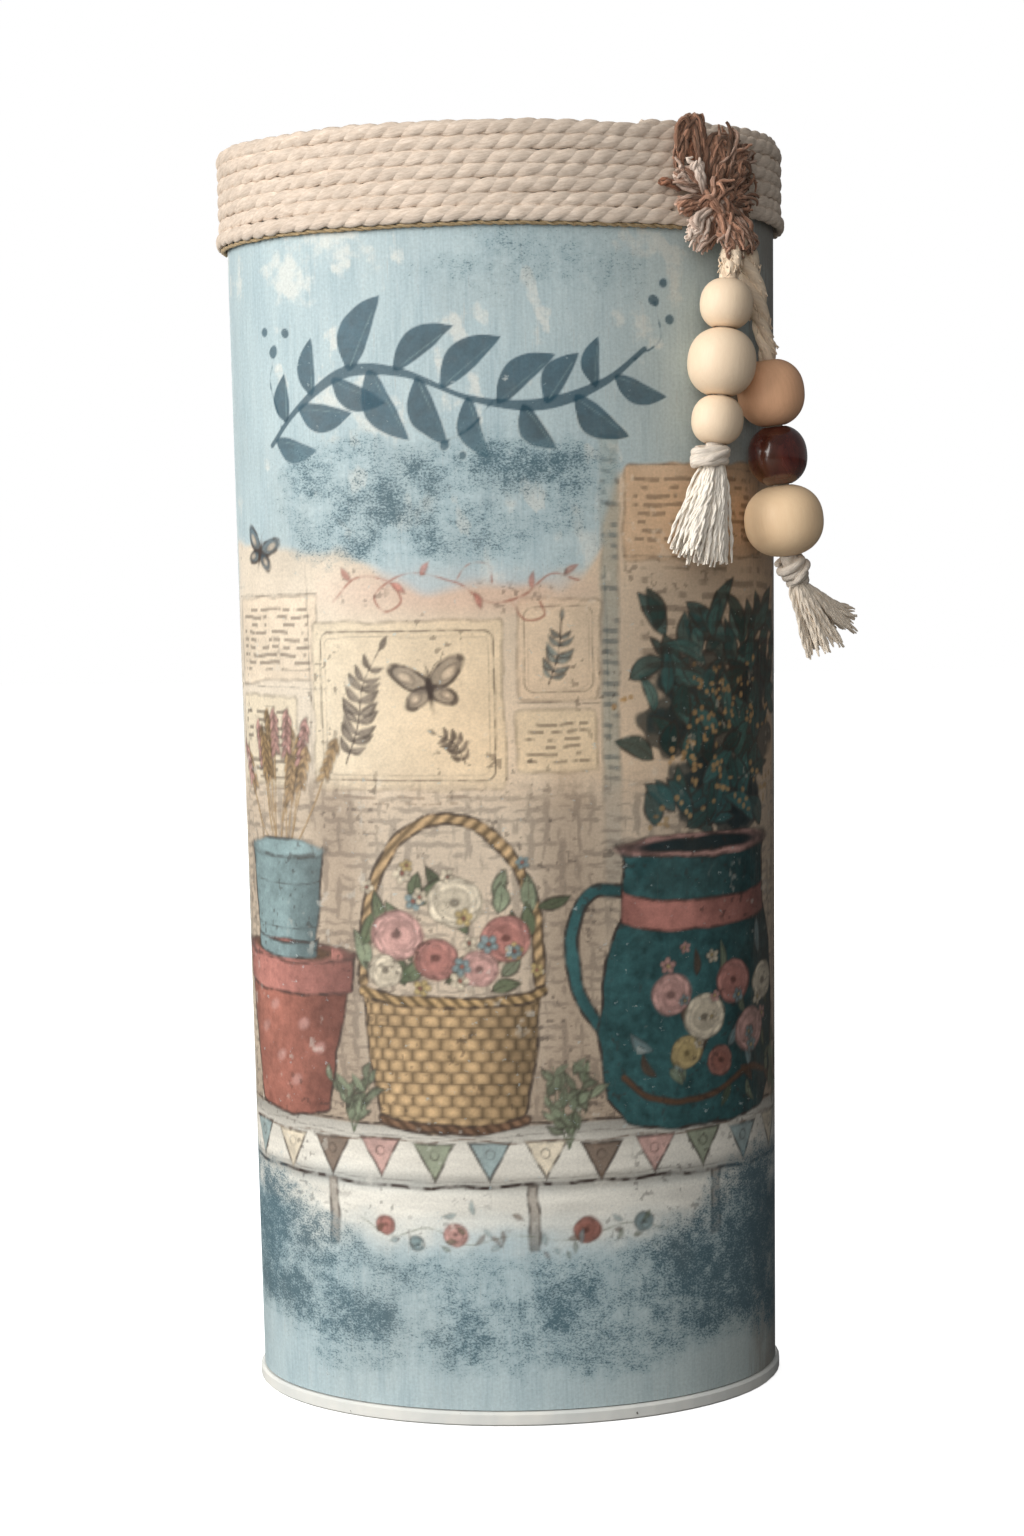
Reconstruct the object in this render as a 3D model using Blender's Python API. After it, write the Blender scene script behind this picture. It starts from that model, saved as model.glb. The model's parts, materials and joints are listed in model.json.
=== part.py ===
# Oval tin vase: seamed base, tin wall, printed sleeve, wound rope collar, jute tuft and two bead strands.
# The front faces -Y and the origin is the centre of the base, on the surface that the vase stands on.
import math

import bmesh
import bpy
from mathutils import Matrix, Vector

MM = 0.001
DEGREE = math.pi / 180
FULL_TURN = 2 * math.pi

# Oval wall, measured over the printed sleeve. It widens a little from the base to the rim
BASE_WIDTH = 164 * MM
BASE_DEPTH = 112 * MM
WIDTH_FLARE = 6 * MM
DEPTH_FLARE = 4 * MM
RIM_HEIGHT = 380.5 * MM
WALL_FACETS = 72
SHARP_ANGLE = 35 * DEGREE

# Free gap between pieces that touch, and how far a joined strip runs into its carrier
CLEARANCE = 0.3 * MM
OVERRUN = 0.2 * MM

# Tin wall: rolled rim and the soldered lap at the back
TIN_THICKNESS = 0.5 * MM
CURL_RADIUS = 1.5 * MM
CURL_FACETS = 10
LAP_SEAM_WIDTH = 5 * MM
LAP_SEAM_RISE = 0.4 * MM

# Base: double seam round the foot, and a recessed panel with one expansion bead
SEAM_HEIGHT = 4.3 * MM
SEAM_REACH = 1.3 * MM
SEAM_ROUND = 0.7 * MM
BASE_SHEET = 0.5 * MM
PANEL_RECESS = 3 * MM
PANEL_MARGIN = 9 * MM
PANEL_BEAD_WIDTH = 7 * MM
PANEL_BEAD_RISE = 0.8 * MM
PANEL_BEAD_SLOPE = 1.2 * MM
BACK_ANGLE = 90 * DEGREE

# Printed sleeve, glued round the wall with a lap at the back
SLEEVE_THICKNESS = 0.3 * MM
SLEEVE_UNDER_ROPE = 14 * MM
SLEEVE_LAP_FACETS = 2
LAP_REACH = 20 * DEGREE

# Rope collar: one rope that starts on the rim and winds down the wall
ROPE_RADIUS = 1.8 * MM
ROPE_GAP = 0.45 * MM
ROPE_ROWS = 7
ROPE_TUCK_TURNS = 0.055
ROPE_POINTS = 24
ROPE_BEVEL_STEPS = 1
ROPE_START_ANGLE = -60 * DEGREE
ROPE_ROLL_ANGLE = 72 * DEGREE
ROPE_ROLL_TURNS = 0.35
ROPE_BULGE = 1.5 * MM
ROPE_BULGE_TURNS = 0.12

# Jute twine laid under the last row
TWINE_RADIUS = 0.8 * MM
TWINE_START_TURNS = 0.07

# Jute tuft on the right front of the collar
TUFT_ANGLE = -45 * DEGREE
TUFT_DROP = 19 * MM
TUFT_STRANDS = 7
TUFT_GROOVE = 0.5 * MM
POINTS_PER_STRAND = 4
LOOP_ANGLE = -50.5 * DEGREE
LOOP_LENGTH = 24 * MM
LOOP_HALF_WIDTH = 3.9 * MM
LOOP_HALF_DEPTH = 2.9 * MM
LOOP_SIDE = 3.6 * MM
LOOP_FIRST_ANGLE = 212 * DEGREE
LOOP_LAST_ANGLE = 172 * DEGREE
LOCK_ANGLE = -44.2 * DEGREE
LOCK_LENGTH = 17.5 * MM
LOCK_HALF_WIDTH = 4.7 * MM
LOCK_HALF_DEPTH = 3.3 * MM
LOCK_SIDE = 2.2 * MM
LOCK_FIRST_ANGLE = 194 * DEGREE
LOCK_LAST_ANGLE = 186 * DEGREE
WISP_ANGLE = -55.8 * DEGREE
WISP_LENGTH = 10 * MM
WISP_HALF_WIDTH = 3.4 * MM
WISP_HALF_DEPTH = 2.6 * MM
WISP_LEAN = 184 * DEGREE
TIE_HEIGHT = 2.6 * MM
TIE_HALF_WIDTH = 5.2 * MM
TIE_HALF_DEPTH = 3 * MM
FRINGE_LENGTH = 9.8 * MM
FRINGE_HALF_WIDTH = 12.3 * MM
FRINGE_HALF_DEPTH = 3 * MM
LOOP_SHARES = (0.62, 0.8, 0.92, 1, 1, 0.94, 0.76, 0.4)
WISP_SHARES = (0.5, 0.85, 1, 0.95, 0.6)
TIE_SHARES = (0.86, 1, 0.92, 1, 0.86)
FRINGE_SHARES = (0.45, 0.52, 0.64, 0.8, 0.94, 1)

# Cotton cords that hang below the tuft, with their joint points on the wall
CORD_DIAMETER = 5 * MM
BORE_DIAMETER = 5.6 * MM
HANG_DROP = 33.2 * MM
BALL_REACH_SHARES = (0.5, 0.85, 0.98)
CORD_STEP_DIAMETERS = 2.5
CORD_BEVEL_STEPS = 3
LEFT_HANG_ANGLE = -40.6 * DEGREE
LEFT_HANG_STANDOFF = 8.6 * MM
LEFT_PIVOT_ANGLE = -43.5 * DEGREE
LEFT_PIVOT_STANDOFF = 10.5 * MM
LEFT_PIVOT_DROP = 39.1 * MM
LEFT_LEAN = -6.1 * DEGREE
LEFT_TILT = -0.8 * DEGREE
RIGHT_HANG_ANGLE = -36.2 * DEGREE
RIGHT_HANG_STANDOFF = 8.2 * MM
RIGHT_PIVOT_ANGLE = -31.4 * DEGREE
RIGHT_PIVOT_STANDOFF = 9.6 * MM
RIGHT_PIVOT_DROP = 61.5 * MM
RIGHT_LEAN = 5.6 * DEGREE
RIGHT_TILT = 2.5 * DEGREE

# Beads, top to bottom on each strand
LEFT_UPPER_WIDTH = 15.6 * MM
LEFT_UPPER_HEIGHT = 14.1 * MM
LEFT_MIDDLE_WIDTH = 20.1 * MM
LEFT_MIDDLE_HEIGHT = 19.4 * MM
LEFT_LOWER_WIDTH = 15.3 * MM
LEFT_LOWER_HEIGHT = 13.7 * MM
RIGHT_UPPER_WIDTH = 19.9 * MM
RIGHT_UPPER_HEIGHT = 19.4 * MM
RIGHT_DARK_WIDTH = 17.8 * MM
RIGHT_DARK_HEIGHT = 17.2 * MM
RIGHT_LOWER_WIDTH = 23.7 * MM
RIGHT_LOWER_HEIGHT = 21 * MM
BEAD_CHAMFER = 0.6 * MM
BEAD_ROUNDNESS = 2.25
BEAD_FACETS = 20
BEAD_STEPS = 12

# Wrapped knots and tassels at the strands' ends
KNOT_STRANDS = 9
KNOT_GROOVE = 0.35 * MM
LEFT_KNOT_WIDTH = 13.1 * MM
LEFT_KNOT_DEPTH = 10.4 * MM
LEFT_KNOT_LENGTH = 7 * MM
RIGHT_KNOT_WIDTH = 11.4 * MM
RIGHT_KNOT_DEPTH = 10 * MM
RIGHT_KNOT_LENGTH = 9 * MM
RIGHT_KNOT_BEND = 30 * DEGREE
LEFT_KNOT_SHARES = (0.74, 0.96, 1, 0.93, 0.98, 0.94, 0.68)
RIGHT_KNOT_SHARES = (0.84, 1, 0.97, 0.88, 0.9, 0.78, 0.76, 0.62)
TASSEL_STRANDS = 12
TASSEL_GROOVE = 0.7 * MM
LEFT_TASSEL_WIDTH = 18.6 * MM
LEFT_TASSEL_DEPTH = 13 * MM
LEFT_TASSEL_LENGTH = 28 * MM
RIGHT_TASSEL_WIDTH = 17 * MM
RIGHT_TASSEL_DEPTH = 10 * MM
RIGHT_TASSEL_LENGTH = 22 * MM
RIGHT_TASSEL_BEND = 38 * DEGREE
TASSEL_SHARES = (0.42, 0.5, 0.62, 0.76, 0.9, 1, 0.93)

# Sizes that follow from the ones above
TIN_OUTSIDE = -(SLEEVE_THICKNESS + CLEARANCE)
TIN_INSIDE = TIN_OUTSIDE - TIN_THICKNESS
ROPE_PITCH = 2 * ROPE_RADIUS + ROPE_GAP
ROPE_SAG = (BASE_WIDTH + WIDTH_FLARE) / 2 * (1 - math.cos(math.pi / ROPE_POINTS))
ROPE_OFFSET = CLEARANCE + ROPE_RADIUS + ROPE_SAG
ROPE_TURNS = ROPE_ROWS + ROPE_TUCK_TURNS
ROPE_END_HEIGHT = RIM_HEIGHT + CLEARANCE + ROPE_RADIUS
CORD_RADIUS = CORD_DIAMETER / 2


def finish(name, colour, roughness, metallic=0.0):
    surface = bpy.data.materials.new(name)
    surface.use_nodes = True
    shader = surface.node_tree.nodes["Principled BSDF"]
    shader.inputs["Base Color"].default_value = (*colour, 1)
    shader.inputs["Roughness"].default_value = roughness
    shader.inputs["Metallic"].default_value = metallic
    return surface


def add_object(name, data, surface, parent=None):
    data.materials.append(surface)
    piece = bpy.data.objects.new(name, data)
    piece.parent = parent
    bpy.context.collection.objects.link(piece)
    return piece


def wall_axes(height):
    rise_share = height / RIM_HEIGHT
    return (BASE_WIDTH + WIDTH_FLARE * rise_share) / 2, (BASE_DEPTH + DEPTH_FLARE * rise_share) / 2


def wall_normal(angle, height):
    half_width, half_depth = wall_axes(height)
    return Vector((math.cos(angle) / half_width, math.sin(angle) / half_depth, 0)).normalized()


def on_wall(angle, height, standoff=0):
    half_width, half_depth = wall_axes(height)
    point = Vector((half_width * math.cos(angle), half_depth * math.sin(angle), height))
    return point + wall_normal(angle, height) * standoff


def wall_ring(standoff, height):
    return [on_wall(FULL_TURN * facet / WALL_FACETS, height, standoff) for facet in range(WALL_FACETS)]


# Skins rings of points in order; a closed skin joins its last ring to its first, an open one is capped
def loft_mesh(name, rings, closed):
    shape = bmesh.new()
    loops = [[shape.verts.new(point) for point in ring] for ring in rings]
    pairs = list(zip(loops, loops[1:]))
    if closed:
        pairs.append((loops[-1], loops[0]))
    else:
        shape.faces.new(loops[0])
        shape.faces.new(loops[-1])
    for first, second in pairs:
        for index, corner in enumerate(first):
            following = (index + 1) % len(first)
            shape.faces.new((corner, first[following], second[following], second[index]))
    bmesh.ops.recalc_face_normals(shape, faces=shape.faces)
    mesh = bpy.data.meshes.new(name)
    shape.to_mesh(mesh)
    shape.free()
    mesh.shade_smooth()
    mesh.set_sharp_from_angle(angle=SHARP_ANGLE)
    return mesh


def make_base_end():
    panel_top = PANEL_RECESS + BASE_SHEET
    chuck_outside = TIN_INSIDE - CLEARANCE
    chuck_inside = chuck_outside - BASE_SHEET
    bead_outside = chuck_inside - PANEL_MARGIN
    bead_inside = bead_outside - PANEL_BEAD_WIDTH
    bead_profile = [
        (bead_outside + PANEL_BEAD_SLOPE, 0),
        (bead_outside, PANEL_BEAD_RISE),
        (bead_inside, PANEL_BEAD_RISE),
        (bead_inside - PANEL_BEAD_SLOPE, 0),
    ]
    underside = [(standoff, PANEL_RECESS + rise) for standoff, rise in reversed(bead_profile)]
    topside = [(standoff, panel_top + rise) for standoff, rise in bead_profile]
    seam = [
        (chuck_inside, PANEL_RECESS),
        (chuck_inside, 0),
        (SEAM_REACH - SEAM_ROUND, 0),
        (SEAM_REACH, SEAM_ROUND),
        (SEAM_REACH, SEAM_HEIGHT - SEAM_ROUND),
        (SEAM_REACH - SEAM_ROUND, SEAM_HEIGHT),
        (TIN_OUTSIDE + CLEARANCE, SEAM_HEIGHT),
        (TIN_OUTSIDE + CLEARANCE, BASE_SHEET),
        (chuck_outside, BASE_SHEET),
        (chuck_outside, panel_top),
    ]
    rings = [wall_ring(standoff, height) for standoff, height in underside + seam + topside]
    enamel = finish("base enamel", (0.82, 0.80, 0.74), 0.5)
    add_object("base_end", loft_mesh("base end", rings, False), enamel)


def curl_profile():
    centre = TIN_OUTSIDE - CURL_RADIUS
    height = RIM_HEIGHT - CURL_RADIUS
    profile = []
    for step in range(CURL_FACETS + 1):
        angle = step * FULL_TURN / (CURL_FACETS + 2)
        profile.append((centre + CURL_RADIUS * math.cos(angle), height + CURL_RADIUS * math.sin(angle)))
    return profile


# A strip of doubled tin up the inside of the back, where the ends of the wall's own sheet are soldered
def make_lap_seam(lower, upper):
    rings = []
    for height in (lower, upper):
        half_width, half_depth = wall_axes(height)
        swing = math.asin(LAP_SEAM_WIDTH / 2 / half_width)
        outer = TIN_INSIDE + OVERRUN
        inner = TIN_INSIDE - LAP_SEAM_RISE
        corners = ((-swing, outer), (swing, outer), (swing, inner), (-swing, inner))
        rings.append([on_wall(BACK_ANGLE + turn, height, standoff) for turn, standoff in corners])
    guide = finish("seam guide", (0.6, 0.6, 0.6), 0.5)
    strip = add_object("lap seam strip", loft_mesh("lap seam", rings, False), guide)
    strip.hide_render = True
    strip.display_type = "WIRE"
    return strip


def make_tin_body():
    lower = BASE_SHEET + CLEARANCE
    curl = curl_profile()
    seam_start = PANEL_RECESS + BASE_SHEET + PANEL_BEAD_RISE + CLEARANCE
    seam_end = RIM_HEIGHT - 2 * CURL_RADIUS - CLEARANCE
    profile = [(TIN_OUTSIDE, lower)] + curl + [(TIN_INSIDE, seam_end), (TIN_INSIDE, lower)]
    rings = [wall_ring(standoff, height) for standoff, height in profile]
    surface = finish("tinplate", (0.55, 0.56, 0.56), 0.38, 0.9)
    body = add_object("tin_body", loft_mesh("tin body", rings, True), surface)
    union = body.modifiers.new("lap seam", "BOOLEAN")
    union.operation = "UNION"
    union.object = make_lap_seam(seam_start, seam_end)


def make_printed_sleeve():
    lower = SEAM_HEIGHT + CLEARANCE
    upper = RIM_HEIGHT - SLEEVE_UNDER_ROPE
    facet_angle = FULL_TURN / WALL_FACETS
    start = BACK_ANGLE - facet_angle * SLEEVE_LAP_FACETS / 2
    sections = []
    for station in range(WALL_FACETS + SLEEVE_LAP_FACETS + 1):
        angle = start + station * facet_angle
        rise = SLEEVE_THICKNESS + CLEARANCE if station >= WALL_FACETS else 0
        under = rise - SLEEVE_THICKNESS
        corners = ((rise, lower), (rise, upper), (under, upper), (under, lower))
        sections.append([on_wall(angle, height, standoff) for standoff, height in corners])
    surface = finish("printed paper", (0.52, 0.60, 0.60), 0.62)
    add_object("printed_sleeve", loft_mesh("printed sleeve", sections, False), surface)


# What passes over the sleeve's lap stands off by one more sheet there
def lap_rise(angle):
    from_back = abs((angle - BACK_ANGLE + math.pi) % FULL_TURN - math.pi)
    return SLEEVE_THICKNESS + CLEARANCE if from_back <= LAP_REACH else 0


def smooth_step(share):
    share = min(1, max(0, share))
    return share * share * (3 - 2 * share)


def rope_height(turns_down):
    first_row = ROPE_END_HEIGHT - ROPE_PITCH * math.cos(ROPE_ROLL_ANGLE)
    return first_row - ROPE_PITCH * (turns_down - 1)


# The first third of a turn rolls in over the rim, one pitch away from the row below it
def rope_point(turns_down):
    angle = ROPE_START_ANGLE + FULL_TURN * turns_down
    roll = ROPE_ROLL_ANGLE * max(0, 1 - turns_down / ROPE_ROLL_TURNS)
    bulge = ROPE_BULGE * smooth_step((turns_down - ROPE_TURNS + 1) / ROPE_BULGE_TURNS + 1)
    height = rope_height(turns_down + 1) + ROPE_PITCH * math.cos(roll)
    standoff = ROPE_OFFSET + lap_rise(angle) + bulge - ROPE_PITCH * math.sin(roll)
    return on_wall(angle, height, standoff)


# The twine nestles under the last row, which stands further out than it does
def twine_point(turns_down):
    angle = ROPE_START_ANGLE + FULL_TURN * turns_down
    standoff = CLEARANCE + TWINE_RADIUS + ROPE_SAG + ROPE_BULGE / 2
    set_back = ROPE_OFFSET + ROPE_BULGE - standoff
    drop = math.sqrt((ROPE_RADIUS + TWINE_RADIUS + CLEARANCE) ** 2 - set_back ** 2)
    return on_wall(angle, rope_height(turns_down) - drop, standoff + lap_rise(angle))


def tube_object(name, points, radius, detail, surface, parent=None, radius_shares=None):
    data = bpy.data.curves.new(name, "CURVE")
    data.dimensions = "3D"
    data.bevel_depth = radius
    data.bevel_resolution = detail
    data.use_fill_caps = True
    spline = data.splines.new("POLY")
    spline.points.add(len(points) - 1)
    for index, point in enumerate(points):
        spline.points[index].co = (*point, 1)
        if radius_shares:
            spline.points[index].radius = radius_shares[index]
    return add_object(name, data, surface, parent)


def wound_points(place, first_turn, last_turn):
    count = round((last_turn - first_turn) * ROPE_POINTS)
    return [place(first_turn + (last_turn - first_turn) * step / count) for step in range(count + 1)]


def least_gap(points, diameter):
    skipped = ROPE_POINTS // 2
    spans = []
    for index, point in enumerate(points):
        spans += [(point - other).length for other in points[index + skipped:]]
    return min(spans) - diameter


def make_collar():
    rope = wound_points(rope_point, 0, ROPE_TURNS)
    cotton = finish("cotton rope", (0.68, 0.58, 0.48), 0.9)
    tube_object("rope_wrap", rope, ROPE_RADIUS, ROPE_BEVEL_STEPS, cotton)
    print("rope_wrap: least gap between its turns", round(least_gap(rope, 2 * ROPE_RADIUS) / MM, 3), "mm")
    twine = wound_points(twine_point, ROPE_TURNS - 1 + TWINE_START_TURNS, ROPE_TURNS)
    jute = finish("jute twine", (0.36, 0.25, 0.13), 0.9)
    tube_object("jute_twine", twine, TWINE_RADIUS, ROPE_BEVEL_STEPS, jute)


# An empty on the wall: its X runs along the wall to the right, its Y into the wall and its Z up
def wall_frame(name, angle, height, standoff, lean=0, tilt=0):
    outward = wall_normal(angle, height)
    across = Vector((-outward.y, outward.x, 0))
    basis = Matrix((across, -outward, Vector((0, 0, 1)))).transposed()
    turned = basis @ Matrix.Rotation(-lean, 3, "Y") @ Matrix.Rotation(-tilt, 3, "X")
    frame = bpy.data.objects.new(name, None)
    frame.empty_display_size = CORD_DIAMETER
    frame.matrix_world = Matrix.Translation(on_wall(angle, height, standoff)) @ turned.to_4x4()
    bpy.context.collection.objects.link(frame)
    return frame


# A fibre bundle in a frame's X-Z plane. It sets off at one angle from straight down and bends to another.
# Its oval section has a groove between each two strands. Where it has a seat, its back stays on that plane
def bundle(name, frame, start, angles, length, halves, shares, strands, groove, surface, seat=None):
    points_round = POINTS_PER_STRAND * strands
    half_width, half_depth = halves
    rings = []
    centre = Vector(start)
    for index, share in enumerate(shares):
        travel_share = index / (len(shares) - 1)
        angle = angles[0] + (angles[1] - angles[0]) * travel_share
        across = Vector((math.cos(angle), 0, math.sin(angle)))
        if seat is not None:
            centre.y = -seat - half_depth * share
        ring = []
        for step in range(points_round):
            turn = FULL_TURN * step / points_round
            dip = groove * share * (1 - abs(math.sin(strands * turn / 2)))
            side = across * ((half_width * share - dip) * math.cos(turn))
            ring.append(centre + side + Vector((0, (half_depth * share - dip) * math.sin(turn), 0)))
        rings.append(ring)
        centre = centre + Vector((math.sin(angle), 0, -math.cos(angle))) * (length / (len(shares) - 1))
    return add_object(name, loft_mesh(name, rings, False), surface, frame)


def make_tuft():
    jute = finish("jute tow", (0.22, 0.13, 0.08), 0.92)
    waist = RIM_HEIGHT - TUFT_DROP
    on_rows = ROPE_OFFSET + ROPE_RADIUS
    above_tie = TIE_HEIGHT / 2 + CLEARANCE
    tuft_frame = wall_frame("tuft frame", TUFT_ANGLE, waist, on_rows + ROPE_BULGE)
    loop_frame = wall_frame("loop frame", LOOP_ANGLE, waist, on_rows)
    lock_frame = wall_frame("lock frame", LOCK_ANGLE, waist, on_rows)
    cut_frame = wall_frame("cut ends frame", WISP_ANGLE, waist, on_rows)
    loop_foot = LOOP_HALF_WIDTH * LOOP_SHARES[0] * abs(math.sin(LOOP_FIRST_ANGLE))
    lock_foot = LOCK_HALF_WIDTH * LOOP_SHARES[0] * abs(math.sin(LOCK_FIRST_ANGLE))
    loop_angles = (LOOP_FIRST_ANGLE, LOOP_LAST_ANGLE)
    lock_angles = (LOCK_FIRST_ANGLE, LOCK_LAST_ANGLE)
    bundle("tuft_left_loop", loop_frame, (LOOP_SIDE, 0, above_tie + loop_foot), loop_angles, LOOP_LENGTH,
           (LOOP_HALF_WIDTH, LOOP_HALF_DEPTH), LOOP_SHARES, TUFT_STRANDS, TUFT_GROOVE, jute, CLEARANCE)
    bundle("tuft_right_lock", lock_frame, (LOCK_SIDE, 0, above_tie + lock_foot), lock_angles, LOCK_LENGTH,
           (LOCK_HALF_WIDTH, LOCK_HALF_DEPTH), LOOP_SHARES, TUFT_STRANDS, TUFT_GROOVE, jute, CLEARANCE)
    bundle("tuft_cut_ends", cut_frame, (0, 0, above_tie), (WISP_LEAN, WISP_LEAN), WISP_LENGTH,
           (WISP_HALF_WIDTH, WISP_HALF_DEPTH), WISP_SHARES, TUFT_STRANDS, TUFT_GROOVE, jute, CLEARANCE)
    bundle("tuft_tie", tuft_frame, (0, 0, TIE_HEIGHT / 2), (0, 0), TIE_HEIGHT,
           (TIE_HALF_WIDTH, TIE_HALF_DEPTH), TIE_SHARES, TUFT_STRANDS, 0, jute, CLEARANCE)
    bundle("tuft_fringe", tuft_frame, (0, 0, -above_tie), (0, 0), FRINGE_LENGTH,
           (FRINGE_HALF_WIDTH, FRINGE_HALF_DEPTH), FRINGE_SHARES, TUFT_STRANDS, TUFT_GROOVE, jute, CLEARANCE)


# Half-outline of a bead from its top mouth to its bottom mouth, flattened where the cord goes in
def bead_outline(width, height):
    mouth = BORE_DIAMETER / 2 + BEAD_CHAMFER
    mouth_share = 2 * mouth / width
    full_height = height / 2 / (1 - mouth_share ** BEAD_ROUNDNESS) ** (1 / BEAD_ROUNDNESS)
    first = math.acos(mouth_share ** (BEAD_ROUNDNESS / 2))
    outline = []
    for step in range(BEAD_STEPS + 1):
        angle = first * (1 - 2 * step / BEAD_STEPS)
        rise = full_height * abs(math.sin(angle)) ** (2 / BEAD_ROUNDNESS)
        outline.append((width / 2 * math.cos(angle) ** (2 / BEAD_ROUNDNESS), math.copysign(rise, angle)))
    bore = BORE_DIAMETER / 2
    outline += [(bore, BEAD_CHAMFER - height / 2), (bore, height / 2 - BEAD_CHAMFER)]
    return outline


def make_bead(name, frame, distance, width, height, surface):
    rings = []
    for radius, rise in bead_outline(width, height):
        turns = [FULL_TURN * facet / BEAD_FACETS for facet in range(BEAD_FACETS)]
        rings.append([Vector((radius * math.cos(turn), radius * math.sin(turn), rise)) for turn in turns])
    bead = add_object(name, loft_mesh(name, rings, True), surface, frame)
    bead.location = (0, 0, -distance)


# The free cord from the tuft to the first bead, with a ball at each end so that both can turn in place
def make_cord_top(name, hang, pivot, surface):
    span = pivot - hang
    along = span.normalized()
    steps = max(1, round(span.length / (CORD_STEP_DIAMETERS * CORD_DIAMETER)))
    points = [span * (step / steps) for step in range(steps + 1)]
    radii = [1] * len(points)
    for share in BALL_REACH_SHARES:
        points = [-along * CORD_RADIUS * share] + points + [span + along * CORD_RADIUS * share]
        radii = [math.sqrt(1 - share * share)] + radii + [math.sqrt(1 - share * share)]
    cord = tube_object(name, points, CORD_RADIUS, CORD_BEVEL_STEPS, surface, None, radii)
    cord.location = hang


def make_cord_core(name, frame, first, last, surface):
    steps = round((last - first) / (CORD_STEP_DIAMETERS * CORD_DIAMETER))
    points = [(0, 0, -(first + (last - first) * step / steps)) for step in range(steps + 1)]
    tube_object(name, points, CORD_RADIUS, CORD_BEVEL_STEPS, surface, frame)


# Threads the beads below the frame's origin and returns how far down the strand they reach
def make_strand(side, frame, beads, cotton):
    first = CORD_RADIUS + CLEARANCE
    reach = first
    for name, width, height, surface in beads:
        make_bead(name, frame, reach + height / 2, width, height, surface)
        reach = reach + height + CLEARANCE
    make_cord_core(side + "_cord", frame, first, reach - CLEARANCE, cotton)
    return reach


def make_left_strand(cotton, wood):
    hang = on_wall(LEFT_HANG_ANGLE, RIM_HEIGHT - HANG_DROP, LEFT_HANG_STANDOFF)
    frame = wall_frame("left strand frame", LEFT_PIVOT_ANGLE, RIM_HEIGHT - LEFT_PIVOT_DROP,
                       LEFT_PIVOT_STANDOFF, LEFT_LEAN, LEFT_TILT)
    make_cord_top("left_cord_top", hang, frame.location, cotton)
    beads = (
        ("left_upper_bead", LEFT_UPPER_WIDTH, LEFT_UPPER_HEIGHT, wood),
        ("left_middle_bead", LEFT_MIDDLE_WIDTH, LEFT_MIDDLE_HEIGHT, wood),
        ("left_lower_bead", LEFT_LOWER_WIDTH, LEFT_LOWER_HEIGHT, wood),
    )
    reach = make_strand("left", frame, beads, cotton)
    bundle("left_knot", frame, (0, 0, -reach), (0, 0), LEFT_KNOT_LENGTH,
           (LEFT_KNOT_WIDTH / 2, LEFT_KNOT_DEPTH / 2), LEFT_KNOT_SHARES, KNOT_STRANDS, KNOT_GROOVE, cotton)
    reach = reach + LEFT_KNOT_LENGTH + CLEARANCE
    bundle("left_tassel", frame, (0, 0, -reach), (0, 0), LEFT_TASSEL_LENGTH,
           (LEFT_TASSEL_WIDTH / 2, LEFT_TASSEL_DEPTH / 2), TASSEL_SHARES, TASSEL_STRANDS, TASSEL_GROOVE,
           cotton)


def make_right_strand(cotton, wood):
    dark = finish("dark lacquer", (0.055, 0.012, 0.010), 0.16)
    hang = on_wall(RIGHT_HANG_ANGLE, RIM_HEIGHT - HANG_DROP, RIGHT_HANG_STANDOFF)
    frame = wall_frame("right strand frame", RIGHT_PIVOT_ANGLE, RIM_HEIGHT - RIGHT_PIVOT_DROP,
                       RIGHT_PIVOT_STANDOFF, RIGHT_LEAN, RIGHT_TILT)
    make_cord_top("right_cord_top", hang, frame.location, cotton)
    beads = (
        ("right_upper_bead", RIGHT_UPPER_WIDTH, RIGHT_UPPER_HEIGHT, wood),
        ("right_dark_bead", RIGHT_DARK_WIDTH, RIGHT_DARK_HEIGHT, dark),
        ("right_lower_bead", RIGHT_LOWER_WIDTH, RIGHT_LOWER_HEIGHT, wood),
    )
    reach = make_strand("right", frame, beads, cotton)
    knot_step = RIGHT_KNOT_LENGTH / (len(RIGHT_KNOT_SHARES) - 1)
    bundle("right_knot", frame, (0, 0, -reach), (0, RIGHT_KNOT_BEND), RIGHT_KNOT_LENGTH,
           (RIGHT_KNOT_WIDTH / 2, RIGHT_KNOT_DEPTH / 2), RIGHT_KNOT_SHARES, KNOT_STRANDS, KNOT_GROOVE,
           cotton)
    knot_end = Vector((0, 0, -reach))
    for step in range(len(RIGHT_KNOT_SHARES) - 1):
        angle = RIGHT_KNOT_BEND * step / (len(RIGHT_KNOT_SHARES) - 1)
        knot_end = knot_end + Vector((math.sin(angle), 0, -math.cos(angle))) * knot_step
    below = Vector((math.sin(RIGHT_KNOT_BEND), 0, -math.cos(RIGHT_KNOT_BEND))) * CLEARANCE
    tassel_angles = (RIGHT_KNOT_BEND, RIGHT_TASSEL_BEND)
    bundle("right_tassel", frame, knot_end + below, tassel_angles, RIGHT_TASSEL_LENGTH,
           (RIGHT_TASSEL_WIDTH / 2, RIGHT_TASSEL_DEPTH / 2), TASSEL_SHARES, TASSEL_STRANDS, TASSEL_GROOVE,
           cotton)


for old in list(bpy.data.objects):
    bpy.data.objects.remove(old)
make_base_end()
make_tin_body()
make_printed_sleeve()
make_collar()
make_tuft()
cotton_cord = finish("cotton cord", (0.72, 0.65, 0.55), 0.92)
turned_wood = finish("turned wood", (0.66, 0.45, 0.26), 0.48)
make_left_strand(cotton_cord, turned_wood)
make_right_strand(cotton_cord, turned_wood)
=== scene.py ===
import itertools
import json
import math

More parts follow.
